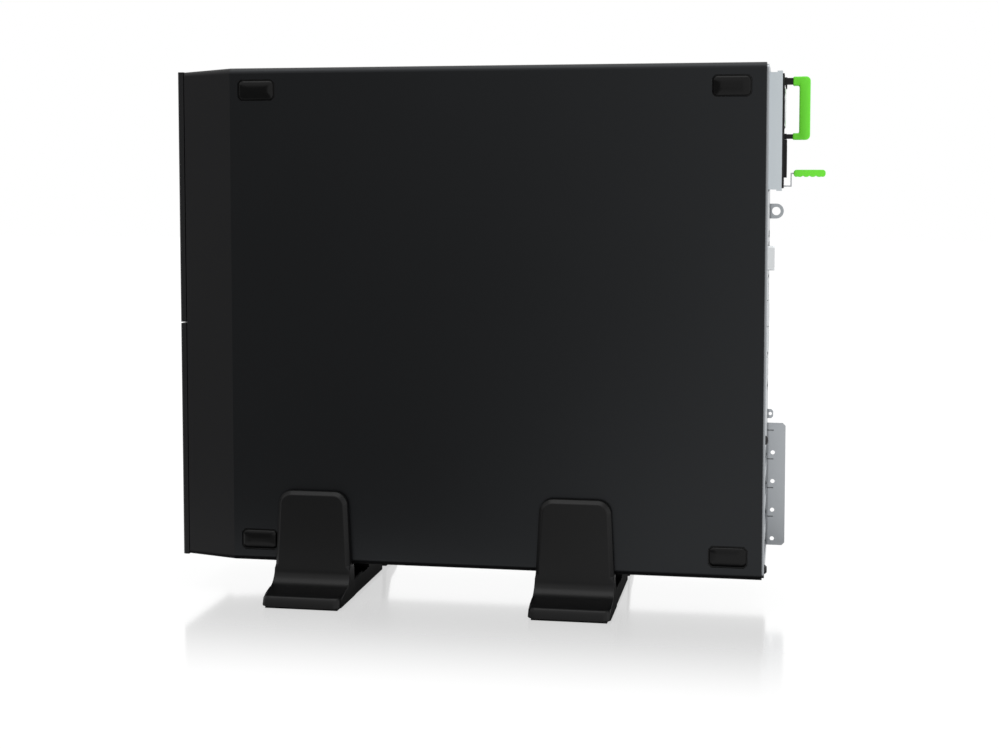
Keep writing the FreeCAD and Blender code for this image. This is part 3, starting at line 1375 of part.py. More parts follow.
INLET_MOUTH_W = 24.4
INLET_MOUTH_H = 16.6
INLET_MOUTH_D = 15.0
INLET_CHAMFER = 4.5
INLET_PINS = ((-7.0, 2.0), (0.0, -2.0), (7.0, 2.0))
PIN_W = 2.0
PIN_H = 4.0
PIN_SET = 4.8          # pins inside the mouth
GRIP_TOP = 2.0         # below the supply's top
GRIP_H = 41.5
GRIP_BAR = 7.2
GRIP_OUT = 18.0        # grip's back face behind the steel case
GRIP_W = 9.0
GRIP_UPPER = 6.0
GRIP_LOWER = 4.4
GRIP_ROOT = 6.6        # green ends start behind the steel case
GRIP_R = 3.4
GRIP_IN_R = 1.2
ARM_UPPER = 4.3
ARM_LOWER = 3.0
ARM_W = 6.0
ARM_BOSS = 1.6
HOOK_T = 1.2           # hook under the upper arm
HOOK_H = 2.6
RIM_L = 3.4
RIM_H = 0.9
FAN_S_Z = PSU_Z1 - FAN_S_DROP
INLET_Z = PSU_Z1 - INLET_DROP
STRIP_Z = PSU_Z0 + LATCH_SET


def psu_bay():
    """Sheet tunnel for two supplies, hung from the chassis top."""
    y0 = PSU_FRONT - FIT
    y1 = REAR_IN
    t = BAY_T
    outer = box(-BAY_X - t, BAY_X + t, y0, y1, BAY_Z0 - t, BAY_Z1 + t)
    inner = box(-BAY_X, BAY_X, y0, y1, BAY_Z0, BAY_Z1)
    hang = [box(x, x + t, y0, y1, BAY_Z1 + t, CEILING) for x in (-BAY_X - t, BAY_X)]
    notch = LATCH_W / 2 + SLIDE_FIT
    relief = box(PSU_X - notch, PSU_X + notch, PSU_END - LATCH_ROOT, y1, BAY_Z0 - t, BAY_Z0)
    return outer.cut([inner, relief]).fuse(hang).removeSplitter()


def power_board():
    """Board across the bay's inner end, with a socket for each supply."""
    y1 = PSU_FRONT - FIT
    board = box(-BAY_X - BAY_T, BAY_X + BAY_T, y1 - BOARD_T, y1, BAY_Z0 - BAY_T, BAY_Z1 + BAY_T)
    sockets = []
    for x in (-PSU_X, PSU_X):
        sockets.append(box(x - PLUG_T / 2, x + PLUG_T / 2, y1 - BOARD_T - PLUG_L, y1 - BOARD_T,
                           BAY_Z0 + PLUG_UP, BAY_Z0 + PLUG_UP + PLUG_H))
    return board.fuse(sockets).removeSplitter()


def psu_blank():
    """Sheet-metal blank that closes the empty second bay."""
    half = PSU_W / 2
    y1 = REAR_OUT
    plate = box(-PSU_X - half, -PSU_X + half, y1 - PSU_SHEET, y1, PSU_Z0, PSU_Z1)
    cuts = vent_cuts(-PSU_X - half + BLANK_RIM, -PSU_X + half - BLANK_RIM, y1 - PSU_SHEET, y1,
                     PSU_Z0 + BLANK_END, PSU_Z1 - BLANK_END)
    walls = [box(-PSU_X - half, -PSU_X + half, y1 - BLANK_L, y1 - PSU_SHEET, z, z + PSU_SHEET)
             for z in (PSU_Z0, PSU_Z1 - PSU_SHEET)]
    side = box(-PSU_X - half, -PSU_X - half + PSU_SHEET, y1 - BLANK_L, y1 - PSU_SHEET, PSU_Z0, PSU_Z1)
    return plate.cut(cuts).fuse(walls + [side]).removeSplitter()


def psu_case():
    """Folded steel case, open at the rear, with a raised rim and a latch slot."""
    half = PSU_W / 2
    s = PSU_SHEET
    outer = box(PSU_X - half, PSU_X + half, PSU_FRONT, PSU_END, PSU_Z0, PSU_Z1)
    rims = [box(PSU_X - half, PSU_X + half, PSU_END - RIM_L, PSU_END, z, z + RIM_H)
            for z in (PSU_Z0 - RIM_H, PSU_Z1)]
    inner = box(PSU_X - half + s, PSU_X + half - s, PSU_FRONT + s, PSU_END, PSU_Z0 + s, PSU_Z1 - s)
    notch = LATCH_W / 2 + FIT
    slot = box(PSU_X - notch, PSU_X + notch, EDGE - TOOTH_SLOT, EDGE + TOOTH_SLOT, PSU_Z0 - RIM_H, PSU_Z0 + s)
    vents = vent_cuts(PSU_X - half + CASE_RIM, PSU_X + half - CASE_RIM, PSU_FRONT, PSU_FRONT + s,
                      PSU_Z0 + CASE_END, PSU_Z1 - CASE_END)
    return outer.fuse(rims).cut([inner, slot] + vents).removeSplitter()


def psu_end_plate():
    """Black end plate with fan and inlet openings and the grip's two arms."""
    half = PSU_W / 2 - PSU_SHEET / 2
    y0 = PSU_END
    y1 = PSU_END + END_T
    plate = box(PSU_X - half, PSU_X + half, y0, y1, PSU_Z0 + PSU_SHEET, PSU_Z1 - PSU_SHEET)
    top = PSU_Z1 - GRIP_TOP
    low = top - GRIP_H
    arms = []
    for z0, z1 in ((top - GRIP_UPPER / 2 - ARM_UPPER / 2, top - GRIP_UPPER / 2 + ARM_UPPER / 2),
                   (low + GRIP_LOWER / 2 - ARM_LOWER / 2, low + GRIP_LOWER / 2 + ARM_LOWER / 2)):
        arms.append(box(PSU_X - ARM_W / 2, PSU_X + ARM_W / 2, y1, PSU_END + GRIP_ROOT, z0, z1))
    bases = []
    for arm in arms:
        span = arm.BoundBox
        bases.append(box(PSU_X - GRIP_W / 2, PSU_X + GRIP_W / 2, y1, y1 + ARM_BOSS,
                         span.ZMin - FIT, span.ZMax + FIT))
    upper = bases[0].BoundBox
    hook = box(PSU_X - ARM_W / 2, PSU_X + ARM_W / 2, upper.YMax - HOOK_T, upper.YMax,
               upper.ZMin - HOOK_H, upper.ZMin)
    solid = plate.fuse(arms + bases + [hook])
    opening = FAN_S_BORE + GUARD_OVER + 2 * FIT
    cuts = [bar(BORE_SIDES, opening, V(PSU_X, y0, FAN_S_Z), V(PSU_X, y1, FAN_S_Z))]
    cuts.append(box(PSU_X - INLET_W / 2, PSU_X + INLET_W / 2, y0, y1,
                    INLET_Z - INLET_H / 2, INLET_Z + INLET_H / 2))
    notch = LATCH_W / 2 + FIT
    cuts.append(box(PSU_X - notch, PSU_X + notch, y0, y1, PSU_Z0 + PSU_SHEET, INLET_Z - INLET_H / 2 - FIT))
    return solid.cut(cuts).removeSplitter()


def psu_grip():
    """Green D-grip, moulded over the arms."""
    top = PSU_Z1 - GRIP_TOP
    low = top - GRIP_H
    y0 = PSU_END + GRIP_ROOT
    y1 = PSU_END + GRIP_OUT
    half = GRIP_W / 2
    block = box(PSU_X - half, PSU_X + half, y0, y1, low, top)
    outer = [e for e in parallel_edges(block, "X") if e.BoundBox.YMin > y1 - NEAR]
    block = block.makeFillet(GRIP_R, outer)
    gap = box(PSU_X - half, PSU_X + half, y0, y1 - GRIP_BAR, low + GRIP_LOWER, top - GRIP_UPPER)
    inner = [e for e in parallel_edges(gap, "X") if e.BoundBox.YMin > y1 - GRIP_BAR - NEAR]
    return block.cut(gap.makeFillet(GRIP_IN_R, inner))


def psu_fan_guard():
    """Fan guard in the end plate's opening: many-sided rings on two crossed bars."""
    start = V(PSU_X, PSU_END, FAN_S_Z)
    end = start + V(0, GUARD_T, 0)
    rings = []
    for r in GUARD_RINGS:
        outer = bar(HUB_SIDES, r + GUARD_T / 2, start, end)
        rings.append(outer.cut(bar(HUB_SIDES, r - GUARD_T / 2, start, end)))
    reach = FAN_S_BORE + GUARD_OVER
    bars = []
    for turn in (45, 135):
        one = box(PSU_X - reach, PSU_X + reach, start.y, end.y, FAN_S_Z - GUARD_T / 2, FAN_S_Z + GUARD_T / 2)
        one.rotate(start, AXES["Y"], turn)
        bars.append(one)
    return bars[0].fuse([bars[1]] + rings).removeSplitter()


def psu_inlet():
    """Mains inlet block with a chamfered mouth and three pins."""
    y1 = PSU_END + INLET_OUT
    y0 = PSU_END - INLET_IN
    half = INLET_W / 2 - FIT / 3
    tall = INLET_H / 2 - FIT / 3
    block = box(PSU_X - half, PSU_X + half, y0, y1, INLET_Z - tall, INLET_Z + tall)
    w = INLET_MOUTH_W / 2
    h = INLET_MOUTH_H / 2
    c = INLET_CHAMFER
    ring = [V(PSU_X - w, y1, INLET_Z + h), V(PSU_X + w, y1, INLET_Z + h),
            V(PSU_X + w, y1, INLET_Z - h + c), V(PSU_X + w - c, y1, INLET_Z - h),
            V(PSU_X - w + c, y1, INLET_Z - h), V(PSU_X - w, y1, INLET_Z - h + c)]
    mouth = prism(ring, V(0, -INLET_MOUTH_D, 0))
    pins = []
    for dx, dz in INLET_PINS:
        x = PSU_X + dx
        z = INLET_Z + dz
        pins.append(box(x - PIN_W / 2, x + PIN_W / 2, y1 - INLET_MOUTH_D, y1 - PIN_SET,
                        z - PIN_H / 2, z + PIN_H / 2))
    return block.cut(mouth).fuse(pins).removeSplitter()


def psu_latch():
    """Bent spring strip with a tooth, from its pivot out to the cap."""
    y0 = PSU_END - LATCH_ROOT
    y1 = PSU_END + LATCH_STEP
    y2 = PSU_END + CAP_END - CAP_T
    z0 = STRIP_Z
    z1 = STRIP_Z + LATCH_RISE
    t = LATCH_T
    half = LATCH_W / 2
    x = PSU_X - half
    ring = [V(x, y0, z0), V(x, y1, z0), V(x, y1, z1), V(x, y2, z1),
            V(x, y2, z1 + t), V(x, y1 - t, z1 + t), V(x, y1 - t, z0 + t), V(x, y0, z0 + t)]
    strip = prism(ring, V(LATCH_W, 0, 0))
    tooth = prism([V(x, EDGE - TOOTH_FRONT, z0), V(x, EDGE + TOOTH_BACK, z0),
                   V(x, EDGE + TOOTH_BACK, PSU_Z0 - TOOTH_BELOW)], V(LATCH_W, 0, 0))
    pivot = rod(t, V(PSU_X - half, y0, z0 + t / 2), V(PSU_X + half, y0, z0 + t / 2))
    return strip.fuse([tooth, pivot]).removeSplitter()


def psu_latch_cap():
    """Green finger cap over the strip's end, ribbed underneath."""
    y0 = PSU_END + CAP_GAP
    y1 = PSU_END + CAP_END
    z_mid = STRIP_Z + LATCH_RISE + LATCH_T / 2
    half = CAP_W / 2
    block = box(PSU_X - half, PSU_X + half, y0, y1, z_mid - CAP_T / 2, z_mid + CAP_T / 2)
    block = rounded(block, "X", CAP_R)
    pitch = (y1 - y0 - CAP_T) / CAP_RIBS
    cuts = []
    for k in range(CAP_RIBS + 1):
        y = y0 + CAP_T / 2 + k * pitch
        z = z_mid - CAP_T / 2 - pitch * CAP_GROOVE_OUT
        cuts.append(bar(8, pitch * CAP_GROOVE_R, V(PSU_X - half, y, z), V(PSU_X + half, y, z)))
    strip = LATCH_W / 2 + FIT / 3
    cuts.append(box(PSU_X - strip, PSU_X + strip, y0, y1 - CAP_T + FIT / 3,
                    z_mid - LATCH_T / 2, z_mid + LATCH_T / 2))
    return block.cut(cuts)


def make_psu():
    """Power bay and the supply's pieces."""
    save("psu_bay", psu_bay())
    save("power_board", power_board())
    save("psu_blank", psu_blank())
    save("psu_case", psu_case())
    save("psu_end_plate", psu_end_plate())
    save("psu_grip", psu_grip())
    save("psu_fan_guard", psu_fan_guard())
    y1 = PSU_END - FIT
    y0 = y1 - FAN_S_T
    save("psu_fan_frame", fan_frame(PSU_X, y0, y1, FAN_S_Z, FAN_S, FAN_S_BORE, FAN_S_HUB, FAN_S_POST))
    save("psu_fan_rotor", rotor(PSU_X, y0 + FIT, y1 - PLATE_T - FIT, FAN_S_Z, FAN_S_HUB, FAN_S_TIP,
                                FAN_S_POST, FAN_BLADES))
    save("psu_inlet", psu_inlet())
    save("psu_latch", psu_latch())
    save("psu_latch_cap", psu_latch_cap())


def make_fans():
    """Both system fans in their holder."""
    save("fan_holder", fan_holder())
    frames = [fan_frame(FAN_X, FAN_Y0, FAN_Y1, z, FAN, FAN_BORE_R, FAN_HUB_R, FAN_POST_R) for z in FAN_Z]
    save("fan_frames", group(frames))
    for name, z in zip(("lower", "upper"), FAN_Z):
        y0 = FAN_Y0 + FIT
        y1 = FAN_Y1 - PLATE_T - FIT
        save("fan_rotor_" + name, rotor(FAN_X, y0, y1, z, FAN_HUB_R, FAN_TIP_R, FAN_POST_R, FAN_BLADES))


def make_drives():
    """Drive cage, carriers and drives."""
    save("drive_cage", drive_cage())
    save("drive_carriers", group(carrier(k) for k in range(DRIVE_BAYS)))
    save("carrier_levers", group(carrier_lever(k) for k in range(DRIVE_BAYS)))
    save("disk_drives", group(disk_drive(k) for k in range(DRIVES_FITTED)))
    save("drive_backplane", drive_backplane())


def make_case():
    """Chassis, skins and front."""
    save("chassis_tray", chassis_tray())
    save("rear_panel", rear_panel())
    save("slot_covers", slot_covers())
    save("front_wall", front_wall())
    save("right_panel", right_panel())
    save("side_pads", side_pads())
    save("access_cover", access_cover())
    save("cover_screw", cover_screw())
    save("padlock_eye", padlock_eye())
    save("rear_screws", rear_screws())
    save("front_bezel", front_bezel())
    save("front_cover", front_cover())
    save("drive_door", drive_door())
    save("door_pins", door_pins())
    save("control_board", control_board())
    save("status_lights", status_lights())
    save("front_usb_ports", front_usb_ports())
    save("power_button", button(POWER_R, POWER_DROP))
    save("id_button", button(ID_R, ID_DROP))
    save("odd_body", odd_body())
    save("odd_tray", odd_tray())
    save("odd_eject_button", odd_eject_button())


def make_board():
    """Mainboard and everything on it."""
    save("mainboard", mainboard())
    save("board_standoffs", board_standoffs())
    save("board_screws", board_screws())
    save("cpu_socket", cpu_socket())
    save("cpu_heat_sink", cpu_heat_sink())
    save("memory_sockets", memory_sockets())
    save("memory_modules", memory_modules())
    save("expansion_slots", expansion_slots())
    save("chipset_heat_sink", chipset_heat_sink())
    save("video_port", video_port())
    save("network_ports", network_ports())
    save("rear_usb_ports", rear_usb_ports())


os.makedirs("parts", exist_ok=True)
make_case()
make_stands()
make_drives()
make_fans()
make_board()
make_psu()
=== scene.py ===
# %% [markdown]
# # A compact tower server
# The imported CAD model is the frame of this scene. Every plate, board and hinge is already in it at its true
# size. Blender adds the finishes, and models again the moulded, wire and rubber pieces whose soft edges
# catch the light. The CAD nodes themselves are never moved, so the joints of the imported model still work.

# %% Load the frame
import json
import math

import bmesh
import bpy
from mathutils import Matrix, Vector


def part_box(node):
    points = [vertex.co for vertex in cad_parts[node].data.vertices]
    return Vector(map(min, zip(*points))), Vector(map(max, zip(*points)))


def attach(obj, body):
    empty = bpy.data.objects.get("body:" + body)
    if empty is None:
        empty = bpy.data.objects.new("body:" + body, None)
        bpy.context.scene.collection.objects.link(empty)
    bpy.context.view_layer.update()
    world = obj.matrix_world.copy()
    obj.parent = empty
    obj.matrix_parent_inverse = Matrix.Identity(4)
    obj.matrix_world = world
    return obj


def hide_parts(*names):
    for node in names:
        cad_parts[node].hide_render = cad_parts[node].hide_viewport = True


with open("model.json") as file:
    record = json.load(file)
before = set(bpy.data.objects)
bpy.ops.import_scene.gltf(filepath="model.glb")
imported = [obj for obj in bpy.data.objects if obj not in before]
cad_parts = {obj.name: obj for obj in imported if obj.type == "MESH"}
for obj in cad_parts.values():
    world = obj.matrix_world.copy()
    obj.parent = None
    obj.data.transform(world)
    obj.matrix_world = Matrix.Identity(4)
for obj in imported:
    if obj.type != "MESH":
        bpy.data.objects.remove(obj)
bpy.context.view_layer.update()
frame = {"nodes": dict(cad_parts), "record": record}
nodes = frame["nodes"]

# %% [markdown]
# ## Three shared effects
# Moulded plastic and powder paint have a grain of less than a millimetre, and their gloss varies slowly
# over a large face. Rolled sheet has fine lines along the rolling direction instead. Its grooves get painted
# shade, which darkens them where little light gets in. Several materials need these effects, so each one
# is a node group that is built once. A group gives out masks and heights only, and the shader stays in the
# material.

# %% Start a node group
def start_group(name, inputs, outputs):
    """A shader group with named number inputs and outputs."""
    group = bpy.data.node_groups.new(name, "ShaderNodeTree")
    for label, value in inputs.items():
        socket = group.interface.new_socket(label, in_out="INPUT", socket_type="NodeSocketFloat")
        socket.default_value = value
    for label in outputs:
        group.interface.new_socket(label, in_out="OUTPUT", socket_type="NodeSocketFloat")
    fed = group.nodes.new("NodeGroupInput")
    given = group.nodes.new("NodeGroupOutput")
    place = group.nodes.new("ShaderNodeTexCoord").outputs["Object"]
    return group, fed.outputs, given.inputs, place


def noise(tree, place, size, detail):
    """A noise texture that is read at a place, with its scale from a socket."""
    texture = tree.nodes.new("ShaderNodeTexNoise")
    texture.inputs["Detail"].default_value = detail
    tree.links.new(place, texture.inputs["Vector"])
    tree.links.new(size, texture.inputs["Scale"])
    return texture.outputs["Fac"]


print("helpers:", start_group.__name__, noise.__name__)

# %% Grain of mouldings and paint
OUTPUTS = ("Height", "Cloud")
grain, fed, given, place = start_group("moulded_grain", {"Fineness": 900.0, "Cloud size": 7.0}, OUTPUTS)
grain.links.new(noise(grain, place, fed["Fineness"], detail=2.0), given["Height"])
grain.links.new(noise(grain, place, fed["Cloud size"], detail=4.0), given["Cloud"])
print("group:", grain.name, "with", len(grain.nodes), "nodes")

# %% Rolled lines of sheet metal
ROLLED_ALONG_Y = (12.0, 0.5, 12.0)
rolled, fed, given, place = start_group("rolled_lines", {"Fineness": 60.0, "Cloud size": 14.0}, OUTPUTS)
stretch = rolled.nodes.new("ShaderNodeMapping")
stretch.inputs["Scale"].default_value = ROLLED_ALONG_Y
rolled.links.new(place, stretch.inputs["Vector"])
lines = noise(rolled, stretch.outputs["Vector"], fed["Fineness"], detail=3.0)
rolled.links.new(lines, given["Height"])
rolled.links.new(noise(rolled, place, fed["Cloud size"], detail=3.0), given["Cloud"])
print("group:", rolled.name, "with", len(rolled.nodes), "nodes")

# %% Painted shade in crevices
# An ambient occlusion mask that paints shade into grooves and crevices, where little light gets in.
painted_shade_group, fed, given, place = start_group("crevice_shade", {"Reach": 0.0016}, ("Open",))
hemisphere = painted_shade_group.nodes.new("ShaderNodeAmbientOcclusion")
hemisphere.samples = 8
painted_shade_group.links.new(fed["Reach"], hemisphere.inputs["Distance"])
steeper = painted_shade_group.nodes.new("ShaderNodeMath")
steeper.operation = "POWER"
steeper.inputs[1].default_value = 1.4
painted_shade_group.links.new(hemisphere.outputs["AO"], steeper.inputs[0])
painted_shade_group.links.new(steeper.outputs[0], given["Open"])
print("group:", painted_shade_group.name, "with", len(painted_shade_group.nodes), "nodes")

# %% [markdown]
# ## One finish for each material slot
# The record lists a slot for each finish: powder paint, mouldings, rubber, plated sheet, board and so on.
# One helper wires them all in the same way. The slow cloud mixes two near shades and moves the roughness a
# little, and the fine height feeds a bump. An image could do the same, but it would be stretched over faces
# of very different sizes. Values that are the same all over, such as the specular level, sit on the
# shader's socket.

# %% Mix colours and place an effect
# The mix node has sockets for numbers, vectors and colours. These are the places of the colours.
COLOUR_A, COLOUR_B, COLOUR_OUT = 6, 7, 2


def blended(tree, share, first, second):
    """Two colours mixed by a share. Each colour is three numbers or a socket."""
    mix = tree.nodes.new("ShaderNodeMix")
    mix.data_type = "RGBA"
    tree.links.new(share, mix.inputs[0])
    for index, colour in ((COLOUR_A, first), (COLOUR_B, second)):
        if isinstance(colour, tuple):
            mix.inputs[index].default_value = (*colour, 1)
        else:
            tree.links.new(colour, mix.inputs[index])
    return mix.outputs[COLOUR_OUT]


def placed(tree, effect):
    """A shared effect in a material."""
    node = tree.nodes.new("ShaderNodeGroup")
    node.node_tree = effect
    return node


print("helpers:", blended.__name__, placed.__name__)

# %% Roughness and relief
RELIEF = 0.0002


def ranged(tree, value, low, high):
    """A value between 0 and 1, spread from one level to another."""
    spread = tree.nodes.new("ShaderNodeMapRange")
    spread.inputs["To Min"].default_value = low
    spread.inputs["To Max"].default_value = high
    tree.links.new(value, spread.inputs["Value"])
    return spread.outputs["Result"]


def bumped(tree, height, strength):
    """A normal that follows a fine height."""
    bump = tree.nodes.new("ShaderNodeBump")
    bump.inputs["Strength"].default_value = strength
    bump.inputs["Distance"].default_value = RELIEF
    tree.links.new(height, bump.inputs["Height"])
    return bump.outputs["Normal"]


print("relief of the finishes:", RELIEF, "m at most")

# %% Wire one finish
# Colour of the painted shade in crevices.
PAINTED_SHADE_TONE = (0.02, 0.02, 0.022)
finishes = {}


def finish(slot, shades, roughness, effect, bump, fineness=None, painted_shade=False, **constants):
    """A procedural material: two shades, a roughness range, a fine bump and perhaps painted shade in
    crevices.
    """
    material = bpy.data.materials.new(slot)
    material.use_nodes = True
    tree = material.node_tree
    shader = tree.nodes["Principled BSDF"]
    texture = placed(tree, effect)
    if fineness:
        texture.inputs["Fineness"].default_value = fineness
    cloud = texture.outputs["Cloud"]
    colour = blended(tree, cloud, *shades)
    # Painted shade: crevices darken the base colour.
    if painted_shade:
        colour = blended(tree, placed(tree, painted_shade_group).outputs["Open"], PAINTED_SHADE_TONE, colour)
    tree.links.new(colour, shader.inputs["Base Color"])
    tree.links.new(ranged(tree, cloud, *roughness), shader.inputs["Roughness"])
    tree.links.new(bumped(tree, texture.outputs["Height"], bump), shader.inputs["Normal"])
    for label, value in constants.items():
        shader.inputs[label.replace("_", " ")].default_value = value
    finishes[slot] = material


print("helper:", finish.__name__)

# %% [markdown]
# ## Black paint, plastic and rubber
# The skin is powder-painted and mirrors the room softly, with a slightly blue sheen. The bezel is a duller
# moulding, the stands lie between the two, and the rubber is the darkest. A black surface shows little of
# its own colour, so these finishes differ mostly in roughness and in how strongly they reflect.

# %% Black finishes
finish("black_panel", ((0.0022, 0.0022, 0.0023), (0.003, 0.003, 0.0033)), (0.28, 0.33), grain, 0.05,
       Specular_IOR_Level=0.335, Specular_Tint=(0.9, 0.95, 1.0, 1.0))
finish("black_moulding", ((0.0062, 0.0062, 0.0068), (0.008, 0.008, 0.0087)), (0.36, 0.44), grain, 0.12,
       Specular_IOR_Level=0.26)
finish("stand_moulding", ((0.0026, 0.0026, 0.0027), (0.0038, 0.0038, 0.004)), (0.3, 0.38), grain, 0.08,
       Specular_IOR_Level=0.235)
finish("fan_moulding", ((0.008, 0.008, 0.009), (0.012, 0.012, 0.013)), (0.38, 0.46), grain, 0.05,
       Specular_IOR_Level=0.12)
finish("rubber", ((0.0007, 0.0007, 0.0007), (0.0012, 0.0012, 0.0013)), (0.2, 0.25), grain, 0.04,
       Specular_IOR_Level=0.2)
finish("black_screw", ((0.006, 0.006, 0.0065), (0.012, 0.012, 0.013)), (0.32, 0.42), grain, 0.05,
       Specular_IOR_Level=0.3)
print("black finishes:", len(finishes))

# %% [markdown]
# ## Metals
# The chassis is zinc-plated sheet with a slightly blue, cloudy grey, and its grooves get painted shade. The
# power supply is lighter. Bright wire and port shells are smoother. A metal takes its colour from what it
# reflects, so its shades stay close to the photo's grey.

# %% Metal finishes
METAL = {"Metallic": 1.0}
# The zinc gets painted shade in its grooves and crevices.
finish("zinc_steel", ((0.41, 0.43, 0.45), (0.52, 0.54, 0.56)), (0.32, 0.44), rolled, 0.12, painted_shade=True, **METAL)
finish("supply_steel", ((0.6, 0.66, 0.69), (0.68, 0.72, 0.75)), (0.3, 0.4), rolled, 0.08, **METAL)
finish("bright_wire", ((0.66, 0.67, 0.68), (0.78, 0.79, 0.8)), (0.16, 0.24), grain, 0.03, **METAL)
finish("port_shell", ((0.72, 0.74, 0.75), (0.86, 0.88, 0.89)), (0.24, 0.34), rolled, 0.06, **METAL)
finish("sink_aluminium", ((0.64, 0.65, 0.66), (0.76, 0.77, 0.78)), (0.3, 0.4), rolled, 0.1, **METAL)
finish("pillar_brass", ((0.62, 0.44, 0.16), (0.74, 0.55, 0.24)), (0.24, 0.36), grain, 0.04, **METAL)
print("finishes so far:", len(finishes))

# %% [markdown]
# ## Black bodies in the ports
# The ports' metal shells hold black plastic bodies with tongues and contacts. In the CAD a port is one
# solid, so the plastic is told from the shell by place: a face that looks out of a mouth and lies behind
# the mouth's rim is black. The rims are read from the frame, so the black follows the ports if they move.

# %% Arithmetic on sockets
def reckon(tree, operation, first, second=0):
    """One step of arithmetic on two sockets or numbers."""
    sums = tree.nodes.new("ShaderNodeMath")
    sums.operation = operation
    for socket, value in zip(sums.inputs, (first, second)):
        if isinstance(value, (int, float)):
            socket.default_value = value
        else:
            tree.links.new(value, socket)
    return sums.outputs[0]


print("helper:", reckon.__name__)

# %% Faces behind the rims
BEHIND = 0.0003
rear_rim = min(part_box(name)[1][1] for name in ("rear_usb_ports", "network_ports"))
front_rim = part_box("front_usb_ports")[0][1]
video_foot, video_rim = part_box("video_port")[0][2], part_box("video_port")[1][1]
tree = finishes["port_shell"].node_tree
read_at = tree.nodes.new("ShaderNodeTexCoord").outputs
looks, lies = [tree.nodes.new("ShaderNodeSeparateXYZ") for _ in range(2)]
tree.links.new(read_at["Normal"], looks.inputs[0])
tree.links.new(read_at["Object"], lies.inputs[0])
in_low_ports = reckon(tree, "LESS_THAN", lies.outputs["Y"], rear_rim - BEHIND)
in_video_depth = reckon(tree, "LESS_THAN", lies.outputs["Y"], video_rim - BEHIND)
above_foot = reckon(tree, "GREATER_THAN", lies.outputs["Z"], video_foot)
in_video = reckon(tree, "MULTIPLY", in_video_depth, above_foot)
behind_front = reckon(tree, "GREATER_THAN", lies.outputs["Y"], front_rim + BEHIND)
inside = reckon(tree, "MULTIPLY", reckon(tree, "MAXIMUM", in_low_ports, in_video), behind_front)
print("port rims at", [round(rim, 4) for rim in (front_rim, rear_rim, video_rim)], "m")

# %% Plastic where a face looks out
BODY_TONE = (0.012, 0.012, 0.013)
LOOKS_OUT = 0.7
outward = reckon(tree, "GREATER_THAN", reckon(tree, "ABSOLUTE", looks.outputs["Y"]), LOOKS_OUT)
on_body = reckon(tree, "MULTIPLY", outward, inside)
base_colour = tree.nodes["Principled BSDF"].inputs["Base Color"]
shell_colour = base_colour.links[0].from_socket
tree.links.new(blended(tree, on_body, shell_colour, BODY_TONE), base_colour)
print("port finish:", len(tree.nodes), "nodes")

# %% [markdown]
# ## Coloured pieces
# Touch points that a hand may pull while the server runs are bright green. The circuit boards are dark
# green, and the light guides are milky. Each could be one flat colour, but even a plain moulding has a soft
# grain that breaks its highlights. So they use the same helper with other shades.

# %% Coloured finishes
finish("green_touch", ((0.155, 0.77, 0.035), (0.185, 0.87, 0.048)), (0.36, 0.46), grain, 0.05,
       Specular_IOR_Level=0.3)
finish("circuit_board", ((0.012, 0.075, 0.03), (0.022, 0.115, 0.05)), (0.3, 0.42), grain, 0.1, fineness=260.0,
       Specular_IOR_Level=0.4)
finish("light_guide", ((0.62, 0.66, 0.63), (0.74, 0.78, 0.75)), (0.22, 0.3), grain, 0.02)
print("finishes:", len(finishes))

# %% A finish on every node
for part in frame["record"]["subparts"]:
    mesh = nodes[part["node"]].data
    mesh.materials.clear()
    mesh.materials.append(finishes[part["material_slot"]])

# %% [markdown]
# ## Tools for modelling by hand
# New pieces start as a block between two corners and are shaped in edit mode. A mesh could also be written
# down corner by corner, but then nobody could follow how it was shaped. Operators act on what is selected,
# so a small helper selects faces, edges or corners by their place, in millimetres, which is how the CAD
# gives them.

# %% A block between two corners
MM = 0.001


def node_corners(name):
    """Lowest and highest corner of a CAD node, in millimetres."""
    return [Vector(corner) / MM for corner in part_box(name)]


def clear_selection():
    """Object mode, with nothing selected."""
    if bpy.context.mode != "OBJECT":
        bpy.ops.object.mode_set(mode="OBJECT")
    bpy.ops.object.select_all(action="DESELECT")


def start_block(name, low, high):
    """A cube between two corners, opened in edit mode."""
    clear_selection()
    low = Vector(low) * MM
    high = Vector(high) * MM
    bpy.ops.mesh.primitive_cube_add(size=1, location=(low + high) / 2)
    block = bpy.context.object
    block.name = name
    block.scale = high - low
    bpy.ops.object.transform_apply(location=True, rotation=True, scale=True)
    bpy.ops.object.mode_set(mode="EDIT")
    return block


print("helpers:", node_corners.__name__, clear_selection.__name__, start_block.__name__)

# %% Select by place
X, Y, Z = range(3)
NEAR = 0.1
FACING = 0.9


def pick(piece, kind, test):
    """Selects only the corners, edges or faces whose middle passes the test."""
    mesh = bmesh.from_edit_mesh(piece.data)
    bpy.ops.mesh.select_mode(type=kind)
    bpy.ops.mesh.select_all(action="DESELECT")
    parts = {"VERT": mesh.verts, "EDGE": mesh.edges, "FACE": mesh.faces}[kind]
    count = 0
    for part in parts:
        corners = [part] if kind == "VERT" else list(part.verts)
        middle = sum((corner.co for corner in corners), Vector()) / len(corners) / MM
        if test(middle, part):
            part.select_set(True)
            count += 1
    bmesh.update_edit_mesh(piece.data)
    return count


def run(edge, axis):
    """How far an edge runs along one axis, in millimetres."""
    return abs(edge.verts[0].co[axis] - edge.verts[1].co[axis]) / MM


def borders(edge, axis, most):
    """Whether an edge parts a face that looks along an axis from one that looks that way less."""
    looks = sorted(face.normal[axis] for face in edge.link_faces)
    return len(looks) == 2 and looks[0] < most and looks[1] > FACING


print("places agree when they are within", NEAR, "mm")

